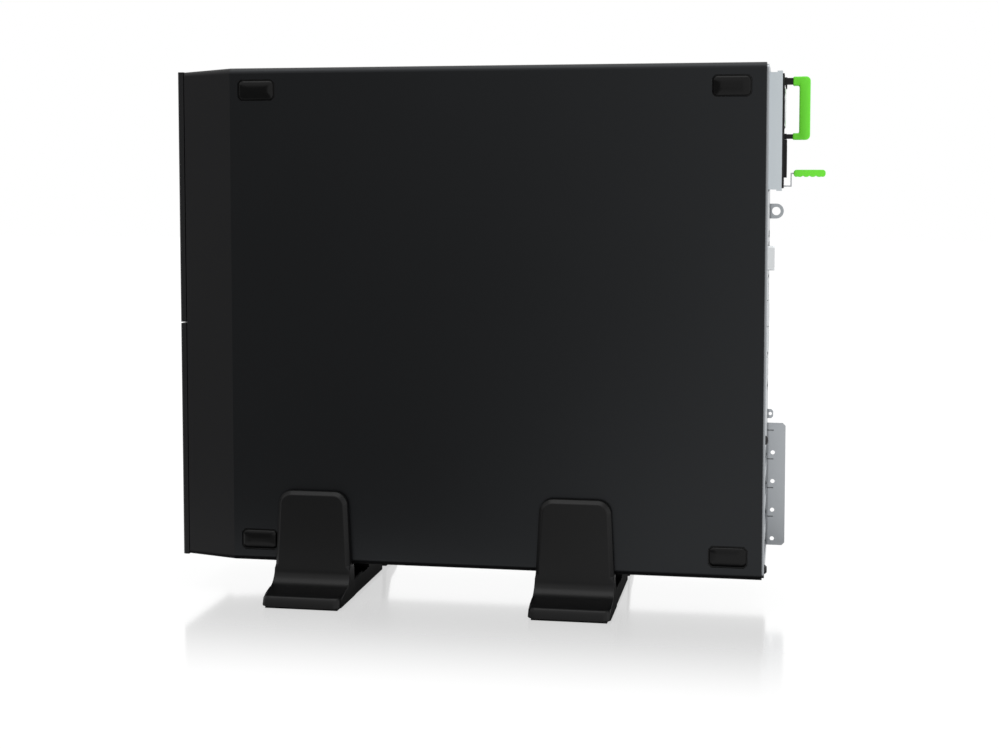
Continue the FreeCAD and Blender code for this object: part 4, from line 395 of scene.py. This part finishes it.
# %% Cut, pull out, shift and round off
def cut_across(axis, level):
    """Cuts the open mesh at a level along one axis and keeps both sides."""
    bpy.ops.mesh.select_all(action="SELECT")
    point = [0, 0, 0]
    point[axis] = level * MM
    normal = [0, 0, 0]
    normal[axis] = 1
    bpy.ops.mesh.bisect(plane_co=point, plane_no=normal)


def pull_out(x=0, y=0, z=0):
    """Extrudes the selected faces by a distance in millimetres."""
    bpy.ops.mesh.extrude_region_move(TRANSFORM_OT_translate={"value": (x * MM, y * MM, z * MM)})


def shift(x=0, y=0, z=0):
    """Moves what is selected, in millimetres."""
    bpy.ops.transform.translate(value=(x * MM, y * MM, z * MM))


def round_off(radius, segments):
    """Bevels the selected edges. One segment gives a flat chamfer."""
    bpy.ops.mesh.bevel(offset=radius * MM, segments=segments, affect="EDGES")


print("helpers:", cut_across.__name__, pull_out.__name__, shift.__name__, round_off.__name__)

# %% [markdown]
# ## Stand halves
# Each stand is two equal mouldings that lock together under the case. A half has a leaning side plate, a
# hollow curve and a long flat toe. Its side outline could be drawn and thickened, but the plate also gets
# narrower upwards. So one block gives all of it: the toe is pulled out of the plate's foot, its nose is
# dropped, the plate's top is narrowed, and the inner corner gets a wide bevel that becomes the hollow.

# %% Plate, toe and ledge
low, high = node_corners("stand_front_right")
STAND_Y = (low.y + high.y) / 2
CASE_SIDE = node_corners("right_panel")[1].x
CASE_BOTTOM = node_corners("right_panel")[0].z
PLATE_IN = CASE_SIDE + 0.5
PLATE_OUT = PLATE_IN + 5.5
LEDGE_IN = CASE_SIDE - 5.0
LEDGE_TOP = CASE_BOTTOM - 0.3
TOE_TOP = low.z + 10.0
half = start_block("stand_half", (PLATE_IN, low.y, low.z), (PLATE_OUT, high.y, high.z))
cut_across(Z, TOE_TOP)
cut_across(Z, LEDGE_TOP)
pick(half, "FACE", lambda m, f: f.normal.x > FACING and m.z < TOE_TOP)
pull_out(x=high.x - PLATE_OUT)
pick(half, "FACE", lambda m, f: f.normal.x < -FACING and m.z < LEDGE_TOP)
pull_out(x=LEDGE_IN - PLATE_IN)
print("toe reaches", round(high.x - CASE_SIDE, 1), "mm past the case")

# %% Lean the plate and drop the nose
LEAN = 1.6
NOSE_DROP = 3.0
pick(half, "VERT", lambda m, v: abs(m.x - high.x) < NEAR and abs(m.z - TOE_TOP) < NEAR)
shift(x=-LEAN, z=-NOSE_DROP)
pick(half, "VERT", lambda m, v: abs(m.x - PLATE_OUT) < NEAR and m.z < TOE_TOP + NEAR)
shift(x=LEAN)
pick(half, "VERT", lambda m, v: abs(m.x - PLATE_OUT) < NEAR and abs(m.z - LEDGE_TOP) < NEAR)
shift(x=0.8 * LEAN)
print("plate leans by", LEAN, "mm, nose drops by", NOSE_DROP, "mm")

# %% Taper the stand upwards
TOP_L = 48.0
TOP_SHARE = TOP_L / (high.y - low.y)


def at_level(height, level):
    """Whether a corner lies at a level. The dropped nose counts as the toe's top."""
    on_nose = level == TOE_TOP and abs(height - TOE_TOP + NOSE_DROP) < 2 * NEAR
    return on_nose or abs(height - level) < 2 * NEAR


for level in (TOE_TOP, LEDGE_TOP, high.z):
    pick(half, "VERT", lambda m, v: at_level(m.z, level))
    share = 1 - (1 - TOP_SHARE) * (level - low.z) / (high.z - low.z)
    bpy.ops.transform.resize(value=(1, share, 1), center_override=(0, STAND_Y * MM, 0))
print("top is", TOP_L, "mm long, foot", round(high.y - low.y, 1), "mm")

# %% Hollow, round top, toe and nose
NOSE_ZONE = high.x - 8.0
HOLLOW_R = 9.0
TOP_R = 9.0
TOE_R = 5.0
NOSE_R = 2.6
pick(half, "EDGE", lambda m, e: abs(m.x - PLATE_OUT - LEAN) < NEAR and abs(m.z - TOE_TOP) < NEAR)
round_off(HOLLOW_R, segments=8)
plate_middle = (PLATE_IN + PLATE_OUT) / 2
pick(half, "EDGE", lambda m, e: abs(m.z - high.z) < NEAR and abs(m.x - plate_middle) < NEAR)
round_off(TOP_R, segments=8)
pick(half, "EDGE", lambda m, e: m.x > high.x - 2.0 and abs(m.y - STAND_Y) > 20 and run(e, Z) > 2)
round_off(TOE_R, segments=6)
nose_edges = pick(half, "EDGE", lambda m, e: m.x >= NOSE_ZONE and borders(e, Z, 0.4))
round_off(NOSE_R, segments=2)
print("nose edges:", nose_edges)

# %% [markdown]
# A moulded edge is never sharp, and a thin bright line along it tells the eye so. The bevel modifier rounds
# all sharp edges at once. Weighted normals then keep the large faces flat, so that they mirror without
# dents.

# %% Soft edges
def soften(piece, width, segments=3, angle=30):
    """Leaves edit mode, rounds every sharp edge and keeps the shading of flat faces flat."""
    clear_selection()
    bpy.context.view_layer.objects.active = piece
    piece.select_set(True)
    bevel = piece.modifiers.new("soft_edges", "BEVEL")
    bevel.width = width * MM
    bevel.segments = segments
    bevel.limit_method = "ANGLE"
    bevel.angle_limit = math.radians(angle)
    bpy.ops.object.modifier_apply(modifier=bevel.name)
    bpy.ops.object.shade_smooth_by_angle(angle=math.radians(angle))
    flat = piece.modifiers.new("flat_faces", "WEIGHTED_NORMAL")
    flat.keep_sharp = True
    bpy.ops.object.modifier_apply(modifier=flat.name)


print("helper:", soften.__name__)

# %% Bevelled rim of the side plate
RIM_W = 2.6
RIM_FROM = TOE_TOP + 16.0
rim_edges = pick(half, "EDGE", lambda m, e: m.z >= RIM_FROM and borders(e, X, 0.5))
round_off(RIM_W, segments=1)
soften(half, 0.6, segments=2, angle=24)
print("rim edges:", rim_edges, "- plate and toe:", len(half.data.polygons), "faces")

# %% [markdown]
# ## Beam under the case
# Behind the plate each half carries a beam that is as wide as half the stand, so that two halves pass each
# other. It has a raised support for the case and a row of ratchet teeth that hold the halves together.
# Cutting the block first gives the strips to pull up.

# %% Support for the case
BEAM_TOP = 12.0
SUPPORT_END = 5.0
SUPPORT_SLOPE = 8.0
PASSING_GAP = 0.2
SIDE_INSET = 0.6
beam_low = (low.x, STAND_Y + PASSING_GAP, low.z)
beam = start_block("stand_beam", beam_low, (LEDGE_IN, high.y - SIDE_INSET, BEAM_TOP))
cut_across(X, SUPPORT_END)
pick(beam, "FACE", lambda m, f: f.normal.z > FACING and m.x < SUPPORT_END)
pull_out(z=CASE_BOTTOM - BEAM_TOP)
pick(beam, "VERT", lambda m, v: abs(m.x - low.x) < NEAR and abs(m.z - CASE_BOTTOM) < NEAR)
shift(x=SUPPORT_SLOPE)
print("support stands", round(CASE_BOTTOM - BEAM_TOP, 1), "mm above the beam")

# %% Ratchet teeth
TEETH = 4
TOOTH_PITCH = 5.0
TOOTH_H = 2.2
TOOTH_TIP = 0.2


def at_top(place, x):
    """Whether a place lies at the teeth's top and at a distance from the middle."""
    return abs(place.x - x) < NEAR and abs(place.z - BEAM_TOP - TOOTH_H) < NEAR


def on_tooth(vert, left):
    """Whether a corner is joined to the left end of its tooth."""
    return any(at_top(edge.other_vert(vert).co / MM, left) for edge in vert.link_edges)


for k in range(1, TEETH + 1):
    cut_across(X, LEDGE_IN - k * TOOTH_PITCH)
for k in range(TEETH):
    right = LEDGE_IN - k * TOOTH_PITCH
    pick(beam, "FACE", lambda m, f: f.normal.z > FACING and abs(m.x - right + TOOTH_PITCH / 2) < 0.5)
    pull_out(z=TOOTH_H)
    pick(beam, "VERT", lambda m, v: at_top(m, right) and on_tooth(v, right - TOOTH_PITCH))
    shift(z=TOOTH_TIP - TOOTH_H)
soften(beam, 0.3, segments=2)
print("teeth:", TEETH, "of", TOOTH_H, "mm")

# %% Join plate and beam
def joined(pieces, name):
    """Several pieces as one object."""
    clear_selection()
    for one in pieces:
        one.select_set(True)
    bpy.context.view_layer.objects.active = pieces[0]
    bpy.ops.object.join()
    pieces[0].name = name
    return pieces[0]


joined([half, beam], "stand_half")
print("one stand half:", len(half.data.polygons), "faces")

# %% [markdown]
# The four halves are one moulding. The left ones are turned by half a turn about the stand's middle, so
# that the two beams of a stand lie side by side. Each copy takes its place in its own mesh, the finish of
# its slot, the body that it rides on and the CAD node that it stands for.

# %% Copy and dress a piece
def copy_of(piece, name):
    """A copy with a mesh of its own, opened in edit mode with all of it selected."""
    clear_selection()
    copy = piece.copy()
    copy.data = piece.data.copy()
    copy.name = name
    bpy.context.collection.objects.link(copy)
    copy.select_set(True)
    bpy.context.view_layer.objects.active = copy
    bpy.ops.object.mode_set(mode="EDIT")
    bpy.ops.mesh.select_all(action="SELECT")
    return copy


def dress(piece, slot, body, *replaced):
    """Gives a piece its finish, its body and the nodes that it stands for."""
    piece.data.materials.clear()
    piece.data.materials.append(finishes[slot])
    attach(piece, body)
    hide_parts(*replaced)
    print("made", piece.name, "with", len(piece.data.polygons), "faces")


print("helpers:", copy_of.__name__, dress.__name__)

# %% Four copies of the half
for node in ("stand_front_right", "stand_front_left", "stand_rear_right", "stand_rear_left"):
    lowest, highest = node_corners(node)
    stand = copy_of(half, "moulded_" + node)
    if node.endswith("left"):
        bpy.ops.transform.rotate(value=math.pi, orient_axis="Z", center_override=(0, STAND_Y * MM, 0))
    shift(y=(lowest.y + highest.y) / 2 - STAND_Y)
    clear_selection()
    dress(stand, "stand_moulding", "chassis", node)
bpy.data.objects.remove(half)

# %% [markdown]
# ## Side pads
# Four rubber pads stand a little proud of the right side, for a server that is laid flat. Each one fills a
# cut-out of the skin with its base, and a smaller rounded cushion stands on the base. A subdivision surface
# would round a block too, but it would shrink the base away from its cut-out. So the block's corners are
# cut first, and the outer face is pulled out in steps, each one narrower than the last, which gives a dome.

# %% Base of one pad
low, high = node_corners("side_pads")
PAD_L = 25.5
PAD_H = 14.0
PAD_R = 3.2
SNUG = 0.1
BASE_X = CASE_SIDE - 0.5
base_low = (low.x, low.y - SNUG, low.z - SNUG)
base_high = (BASE_X, low.y + PAD_L + SNUG, low.z + PAD_H + SNUG)
pad = start_block("pad", base_low, base_high)
pick(pad, "EDGE", lambda m, e: run(e, X) > 0.5)
round_off(PAD_R, segments=5)
print("pad base lies", CASE_SIDE - BASE_X, "mm behind the skin")

# %% Cushion, raised in steps
# Each step lifts the outer face and then draws its edges in, in millimetres.
DOME = ((0.0, 0.7), (0.6, 0.1), (0.5, 0.45), (0.4, 1.0), (0.3, 1.6), (0.17, 1.9))
pad_middle = Vector((0, low.y + PAD_L / 2, low.z + PAD_H / 2)) * MM
length = PAD_L
height = PAD_H
pick(pad, "FACE", lambda m, f: f.normal.x > FACING)
for lift, less in DOME:
    pull_out(x=lift)
    narrower = (1, (length - 2 * less) / length, (height - 2 * less) / height)
    bpy.ops.transform.resize(value=narrower, center_override=pad_middle)
    length -= 2 * less
    height -= 2 * less
soften(pad, 0.15, segments=2, angle=60)
proud = sum(lift for lift, less in DOME) - (CASE_SIDE - BASE_X)
print("cushion stands", round(proud, 2), "mm proud")

# %% Four pads
pads = []
for dy in (0, high.y - low.y - PAD_L):
    for dz in (0, high.z - low.z - PAD_H):
        pads.append(copy_of(pad, "side_pad"))
        shift(y=dy, z=dz)
clear_selection()
bpy.data.objects.remove(pad)
dress(joined(pads, "rubber_side_pads"), "rubber", "chassis", "side_pads")

# %% [markdown]
# ## Grip of the power supply
# The green grip is a D that is moulded over two steel arms. It could be a bent tube, but the real bar is
# wide and flat. So the bar is one block whose inner half is narrowed for the fingers. Two arms are pulled
# out of the bar's ends, the outer corners get a large radius, and all edges are softened at the end.

# %% Bar of the grip
low, high = node_corners("psu_grip")
BAR_T = 7.2
FINGER_SHARE = 0.7
grip = start_block("green_grip", (low.x, high.y - BAR_T, low.z), high)
cut_across(Y, high.y - BAR_T / 2)
pick(grip, "VERT", lambda m, v: m.y < high.y - BAR_T + NEAR)
grip_middle = ((low.x + high.x) / 2 * MM, 0, 0)
bpy.ops.transform.resize(value=(FINGER_SHARE, 1, 1), center_override=grip_middle)
bar_w = high.x - low.x
print("bar is", round(bar_w, 1), "mm wide outside and", round(FINGER_SHARE * bar_w, 1), "mm inside")

# %% Arms and corners of the grip
UPPER_ARM = high.z - 6.0
LOWER_ARM = low.z + 4.4
CORNER_R = 3.0
cut_across(Z, UPPER_ARM)
cut_across(Z, LOWER_ARM)
pick(grip, "FACE", lambda m, f: f.normal.y < -FACING and (m.z > UPPER_ARM or m.z < LOWER_ARM))
pull_out(y=low.y - high.y + BAR_T)
pick(grip, "EDGE", lambda m, e: run(e, X) > 1 and m.y > high.y - NEAR
     and (m.z > high.z - NEAR or m.z < low.z + NEAR))
round_off(CORNER_R, segments=8)
soften(grip, 0.9, segments=4)
dress(grip, "green_touch", "psu", "psu_grip")

# %% [markdown]
# ## Latch cap
# A finger presses the green cap upwards, so its underside is waved against slipping. Cylinders could be cut
# out of it, but a boolean cut leaves a mesh that is hard to soften. So the block is cut into strips, and
# the underside's corners are lifted between the waves. The two ends are rounded first, as a bar of soap is.

# %% Cap with rounded ends
low, high = node_corners("psu_latch_cap")
END_R = 1.9
cap = start_block("green_latch_cap", low, high)
pick(cap, "EDGE", lambda m, e: run(e, X) > 1)
round_off(END_R, segments=6)
print("cap:", [round(side, 1) for side in high - low], "mm")

# %% Waves under the cap
WAVES = 4
STRIPS = 6
WAVE_H = 0.9
flat_from = low.y + END_R
strip = (high.y - low.y - 2 * END_R) / (WAVES * STRIPS)
for k in range(1, WAVES * STRIPS):
    cut_across(Y, flat_from + k * strip)
for k in range(1, WAVES * STRIPS):
    level = flat_from + k * strip
    pick(cap, "VERT", lambda m, v: abs(m.y - level) < 0.05 and m.z < low.z + 0.05)
    shift(z=WAVE_H * abs(math.cos(math.pi * k / STRIPS)) ** 8)
soften(cap, 0.5, angle=40)
dress(cap, "green_touch", "psu_latch", "psu_latch_cap")

# %% [markdown]
# ## Carrier levers
# Behind the door each drive carrier has a green lever that pulls the carrier out. A plain block would do
# from far away, but the open door shows the levers at close range. Each one has a press spot that lets it
# go, a groove beside it, and a shallow tray with ribs for the fingertip. The tray is an inset face that is
# pushed in, and the ribs are strips of its floor that are pulled out again. One lever is shaped and copied
# to the other bays.

# %% Groove, press spot and tray of one lever
low, high = node_corners("carrier_levers")
LEVER_H = 9.0
GROOVE = (low.x + 11.0, low.x + 12.2)
GROOVE_D = 1.0
SPOT_RIM, SPOT_D = 2.2, 0.5
TRAY_RIM, TRAY_D = 1.5, 0.9
lever = start_block("lever", low, (high.x, high.y, low.z + LEVER_H))
for level in GROOVE:
    cut_across(X, level)
pick(lever, "FACE", lambda m, f: f.normal.y < -FACING and GROOVE[0] < m.x < GROOVE[1])
pull_out(y=GROOVE_D)
for start, end, rim, depth in ((low.x, GROOVE[0], SPOT_RIM, SPOT_D), (GROOVE[1], high.x, TRAY_RIM, TRAY_D)):
    pick(lever, "FACE", lambda m, f: f.normal.y < -FACING and start < m.x < end and m.y < low.y + NEAR)
    bpy.ops.mesh.inset(thickness=rim * MM, depth=0)
    pull_out(y=depth)
print("lever:", [round(side / MM, 1) for side in lever.dimensions], "mm")

# %% Ribs of the tray
RIBS = 5
RIB_PITCH = 2.4
RIB_H = 0.7
rib_from = high.x - TRAY_RIM - RIBS * RIB_PITCH - 1.0
tray_floor = low.y + TRAY_D
for k in range(2 * RIBS):
    cut_across(X, rib_from + k * RIB_PITCH / 2)
for k in range(RIBS):
    rib_x = rib_from + (k + 0.25) * RIB_PITCH
    pick(lever, "FACE", lambda m, f: f.normal.y < -FACING and abs(m.x - rib_x) < NEAR
         and abs(m.y - tray_floor) < 0.05)
    pull_out(y=-RIB_H)
soften(lever, 0.18, segments=2)
print("ribs:", RIBS, "of", RIB_H, "mm on one lever")

# %% A lever for each bay
BAYS = 8
bay_pitch = (high.z - low.z - LEVER_H) / (BAYS - 1)
levers = []
for bay in range(BAYS):
    levers.append(copy_of(lever, "carrier_lever"))
    shift(z=bay * bay_pitch)
clear_selection()
bpy.data.objects.remove(lever)
dress(joined(levers, "green_carrier_levers"), "green_touch", "chassis", "carrier_levers")

# %% [markdown]
# ## Wire fan guard
# The guard in front of the supply's fan is round wire: two rings on two crossed wires. A torus would do for
# a ring, but spinning the wire's round section about the fan's axle keeps the wire's size as a value of its
# own. The crossed wires are rods with rounded ends.

# %% Rings by spinning
low, high = node_corners("psu_fan_guard")
WIRE_R = (high.y - low.y) / 2
WIRE_SIDES = 10
RING_RADII = (13.0, 7.0)
RING_STEPS = 48
guard_middle = Vector(((low.x + high.x) / 2, high.y + 0.3, (low.z + high.z) / 2))
wires = []
for radius in RING_RADII:
    clear_selection()
    section_at = (guard_middle + Vector((radius, 0, 0))) * MM
    bpy.ops.mesh.primitive_circle_add(vertices=WIRE_SIDES, radius=WIRE_R * MM, location=section_at)
    ring = bpy.context.object
    bpy.ops.object.transform_apply(location=True, rotation=True, scale=True)
    bpy.ops.object.mode_set(mode="EDIT")
    bpy.ops.mesh.select_all(action="SELECT")
    bpy.ops.mesh.spin(steps=RING_STEPS, angle=2 * math.pi, axis=(0, 1, 0), center=guard_middle * MM)
    bpy.ops.mesh.select_all(action="SELECT")
    bpy.ops.mesh.remove_doubles(threshold=0.01 * MM)
    bpy.ops.mesh.normals_make_consistent(inside=False)
    clear_selection()
    ring.select_set(True)
    bpy.ops.object.shade_smooth()
    wires.append(ring)
print("rings:", [len(ring.data.polygons) for ring in wires], "faces")

# %% Crossed wires
ROD_REACH = 17.9
ROD_SHARE = 0.98
for turn in (45, 135):
    clear_selection()
    bpy.ops.mesh.primitive_cylinder_add(vertices=WIRE_SIDES, radius=ROD_SHARE * WIRE_R * MM,
                                        depth=2 * ROD_REACH * MM, location=guard_middle * MM,
                                        rotation=(0, math.radians(turn), 0))
    rod = bpy.context.object
    bpy.ops.object.transform_apply(location=True, rotation=True, scale=True)
    soften(rod, 0.25, segments=2, angle=60)
    wires.append(rod)
dress(joined(wires, "wire_fan_guard"), "bright_wire", "psu", "psu_fan_guard")

# %% [markdown]
# ## Floor
# The server stands on pale, slightly glossy paper. Near the case the paper shows a weak mirror image, and
# further away it is as white as the background. The sheen could lie all over the floor, but then the paper
# would mirror the whole room. So it fades away from the case. First come two small helpers for the shading.

# %% Shading helpers
def soft_step(tree, value, start, end, low, high):
    """A smooth step of a value from one level to another."""
    step = tree.nodes.new("ShaderNodeMapRange")
    step.interpolation_type = "SMOOTHSTEP"
    tree.links.new(value, step.inputs["Value"])
    for label, number in (("From Min", start), ("From Max", end), ("To Min", low), ("To Max", high)):
        step.inputs[label].default_value = number
    return step.outputs["Result"]


def choose(tree, share, first, second):
    """A mix of two shaders by a share."""
    blend = tree.nodes.new("ShaderNodeMixShader")
    tree.links.new(share, blend.inputs[0])
    tree.links.new(first, blend.inputs[1])
    tree.links.new(second, blend.inputs[2])
    return blend.outputs[0]


print("helpers:", soft_step.__name__, choose.__name__)

# %% Floor
clear_selection()
bpy.ops.mesh.primitive_plane_add(size=14)
floor = bpy.context.object
floor.name = "floor"
paper = bpy.data.materials.new("floor_paper")
paper.use_nodes = True
tree = paper.node_tree
tree.nodes.clear()
place = tree.nodes.new("ShaderNodeTexCoord").outputs["Object"]
along = tree.nodes.new("ShaderNodeSeparateXYZ")
tree.links.new(place, along.inputs[0])
print("floor:", [round(side, 1) for side in floor.dimensions], "m")

# %% Paper that is white far from the case
FADE_FROM, WHITE_FROM = 0.25, 0.9
NEAR_SHARE = 0.86
matt = tree.nodes.new("ShaderNodeBsdfDiffuse")
matt.inputs["Color"].default_value = (0.95, 0.95, 0.95, 1)
glow = tree.nodes.new("ShaderNodeEmission")
glow.inputs["Strength"].default_value = 1.07
distance = tree.nodes.new("ShaderNodeVectorMath")
distance.operation = "LENGTH"
tree.links.new(place, distance.inputs[0])
whiter = soft_step(tree, distance.outputs["Value"], FADE_FROM, WHITE_FROM, NEAR_SHARE, 1.0)
lit_paper = choose(tree, whiter, matt.outputs[0], glow.outputs[0])
print("paper is white from", WHITE_FROM, "m")

# %% A sheen that fades away from the case
SHEEN_START, SHEEN_END = 0.08, 0.26
SHEEN = 0.35
CASE_END = 0.17
gloss = tree.nodes.new("ShaderNodeBsdfGlossy")
gloss.inputs["Color"].default_value = (1, 1, 1, 1)
gloss.inputs["Roughness"].default_value = 0.12
aside = reckon(tree, "ABSOLUTE", along.outputs["X"])
past_ends = reckon(tree, "SUBTRACT", reckon(tree, "ABSOLUTE", along.outputs["Y"]), CASE_END)
outside = reckon(tree, "MAXIMUM", aside, past_ends)
sheen = soft_step(tree, outside, SHEEN_START, SHEEN_END, SHEEN, 0.0)
shown = choose(tree, sheen, lit_paper, gloss.outputs[0])
print("sheen ends", round((SHEEN_END - CASE_SIDE * MM) / MM), "mm from the case")

# %% [markdown]
# ## Room
# A black side mirrors the floor and the room in front of it. On the photo it is dark at the front and
# lighter towards the rear, as with a large window on the rear side and a dim room towards the front. So
# rays that come from a glossy face find the room bright at the rear, dim at the front and dark under the
# case. Large lamps could give such a change too, but they would also light the other pieces. The camera
# always finds the room white.

# %% What glossy faces find on the floor
DIM = 0.26
UNDER_CASE = 0.03
front_light = soft_step(tree, along.outputs["Y"], -0.16, 0.16, DIM, 1.0)
left_side = soft_step(tree, along.outputs["X"], 0.3, 0.1, 0.0, 1.0)
under_case = soft_step(tree, outside, 0.075, 0.11, UNDER_CASE, 1.0)
level = reckon(tree, "MULTIPLY", reckon(tree, "MAXIMUM", front_light, left_side), under_case)
mirrored = tree.nodes.new("ShaderNodeEmission")
tree.links.new(level, mirrored.inputs["Strength"])
rays = tree.nodes.new("ShaderNodeLightPath").outputs
shown = choose(tree, rays["Is Glossy Ray"], shown, mirrored.outputs[0])
tree.links.new(shown, tree.nodes.new("ShaderNodeOutputMaterial").inputs[0])
floor.data.materials.append(paper)
print("floor nodes:", len(tree.nodes))

# %% White surroundings
scene = bpy.context.scene
world = bpy.data.worlds.new("studio")
scene.world = world
world.use_nodes = True
tree = world.node_tree
tree.nodes.clear()


def backdrop(strength):
    """White surroundings, of a strength that is a number or a socket."""
    white = tree.nodes.new("ShaderNodeBackground")
    white.inputs["Color"].default_value = (1, 1, 1, 1)
    if isinstance(strength, float):
        white.inputs["Strength"].default_value = strength
    else:
        tree.links.new(strength, white.inputs["Strength"])
    return white.outputs[0]


print("world:", world.name)

# %% A room that is dim towards the front
SOFT_LIGHT = 0.7
heading = tree.nodes.new("ShaderNodeSeparateXYZ")
tree.links.new(tree.nodes.new("ShaderNodeTexCoord").outputs["Generated"], heading.inputs[0])
bright_rear = soft_step(tree, heading.outputs["Y"], -0.18, 0.0, DIM, 1.0)
far_side = soft_step(tree, heading.outputs["X"], 0.3, 0.0, 0.0, 1.0)
overhead = soft_step(tree, heading.outputs["Z"], 0.17, 0.34, 0.0, 1.0)
room = reckon(tree, "MAXIMUM", reckon(tree, "MAXIMUM", bright_rear, far_side), overhead)
rays = tree.nodes.new("ShaderNodeLightPath").outputs
shown = choose(tree, rays["Is Glossy Ray"], backdrop(SOFT_LIGHT), backdrop(room))
shown = choose(tree, rays["Is Camera Ray"], shown, backdrop(1.0))
shown = choose(tree, rays["Is Transmission Ray"], shown, backdrop(1.0))
tree.links.new(shown, tree.nodes.new("ShaderNodeOutputWorld").inputs[0])
print("world nodes:", len(tree.nodes))

# %% [markdown]
# ## Lamps
# The surroundings give most of the light. One large lamp above makes the top edges and the stands' hollows
# a little lighter, and a weak one at the rear helps the ports. Area lamps are used because small ones would
# draw hard shadows on the paper, which the photo does not have.

# %% Two soft lamps
def soft_lamp(name, place, aim, size, power):
    """A square area lamp that looks at a point."""
    light = bpy.data.lights.new(name, "AREA")
    light.size = size
    light.energy = power
    lamp = bpy.data.objects.new(name, light)
    lamp.location = place
    lamp.rotation_euler = (Vector(aim) - Vector(place)).to_track_quat("-Z", "Y").to_euler()
    scene.collection.objects.link(lamp)


soft_lamp("lamp_above", (0.5, 0.0, 2.2), (0.1, 0.0, 0.1), size=2.0, power=16)
soft_lamp("lamp_rear", (0.35, 1.5, 0.4), (0.05, 0.1, 0.1), size=0.9, power=1)

# %% [markdown]
# ## Camera
# The photo looks at the right side from a little above its middle. The camera's place and lens were found
# from the case's edges and from the point where its depth lines meet. The photo's upright lines stay
# upright, as with a lens that is shifted instead of tilted. A full shift would crop other views, so a part
# of it is given as a small pitch.

# %% Camera of the photo
CAMERA_AT = Vector((1.1424, 0.2004, 0.2864))
HEADING = math.radians(10.075)
PITCH = math.radians(3.872)
lens = bpy.data.cameras.new("photo_lens")
lens.sensor_width = 36.0
lens.lens = 59.935
lens.shift_y = -0.08
camera = bpy.data.objects.new("photo_camera", lens)
camera.location = CAMERA_AT
level_share = math.cos(PITCH)
look = Vector((-math.cos(HEADING) * level_share, -math.sin(HEADING) * level_share, -math.sin(PITCH)))
camera.rotation_euler = look.to_track_quat("-Z", "Y").to_euler()
scene.collection.objects.link(camera)
scene.camera = camera
scene.view_settings.view_transform = "Standard"
print("camera at", [round(value, 3) for value in CAMERA_AT], "m")
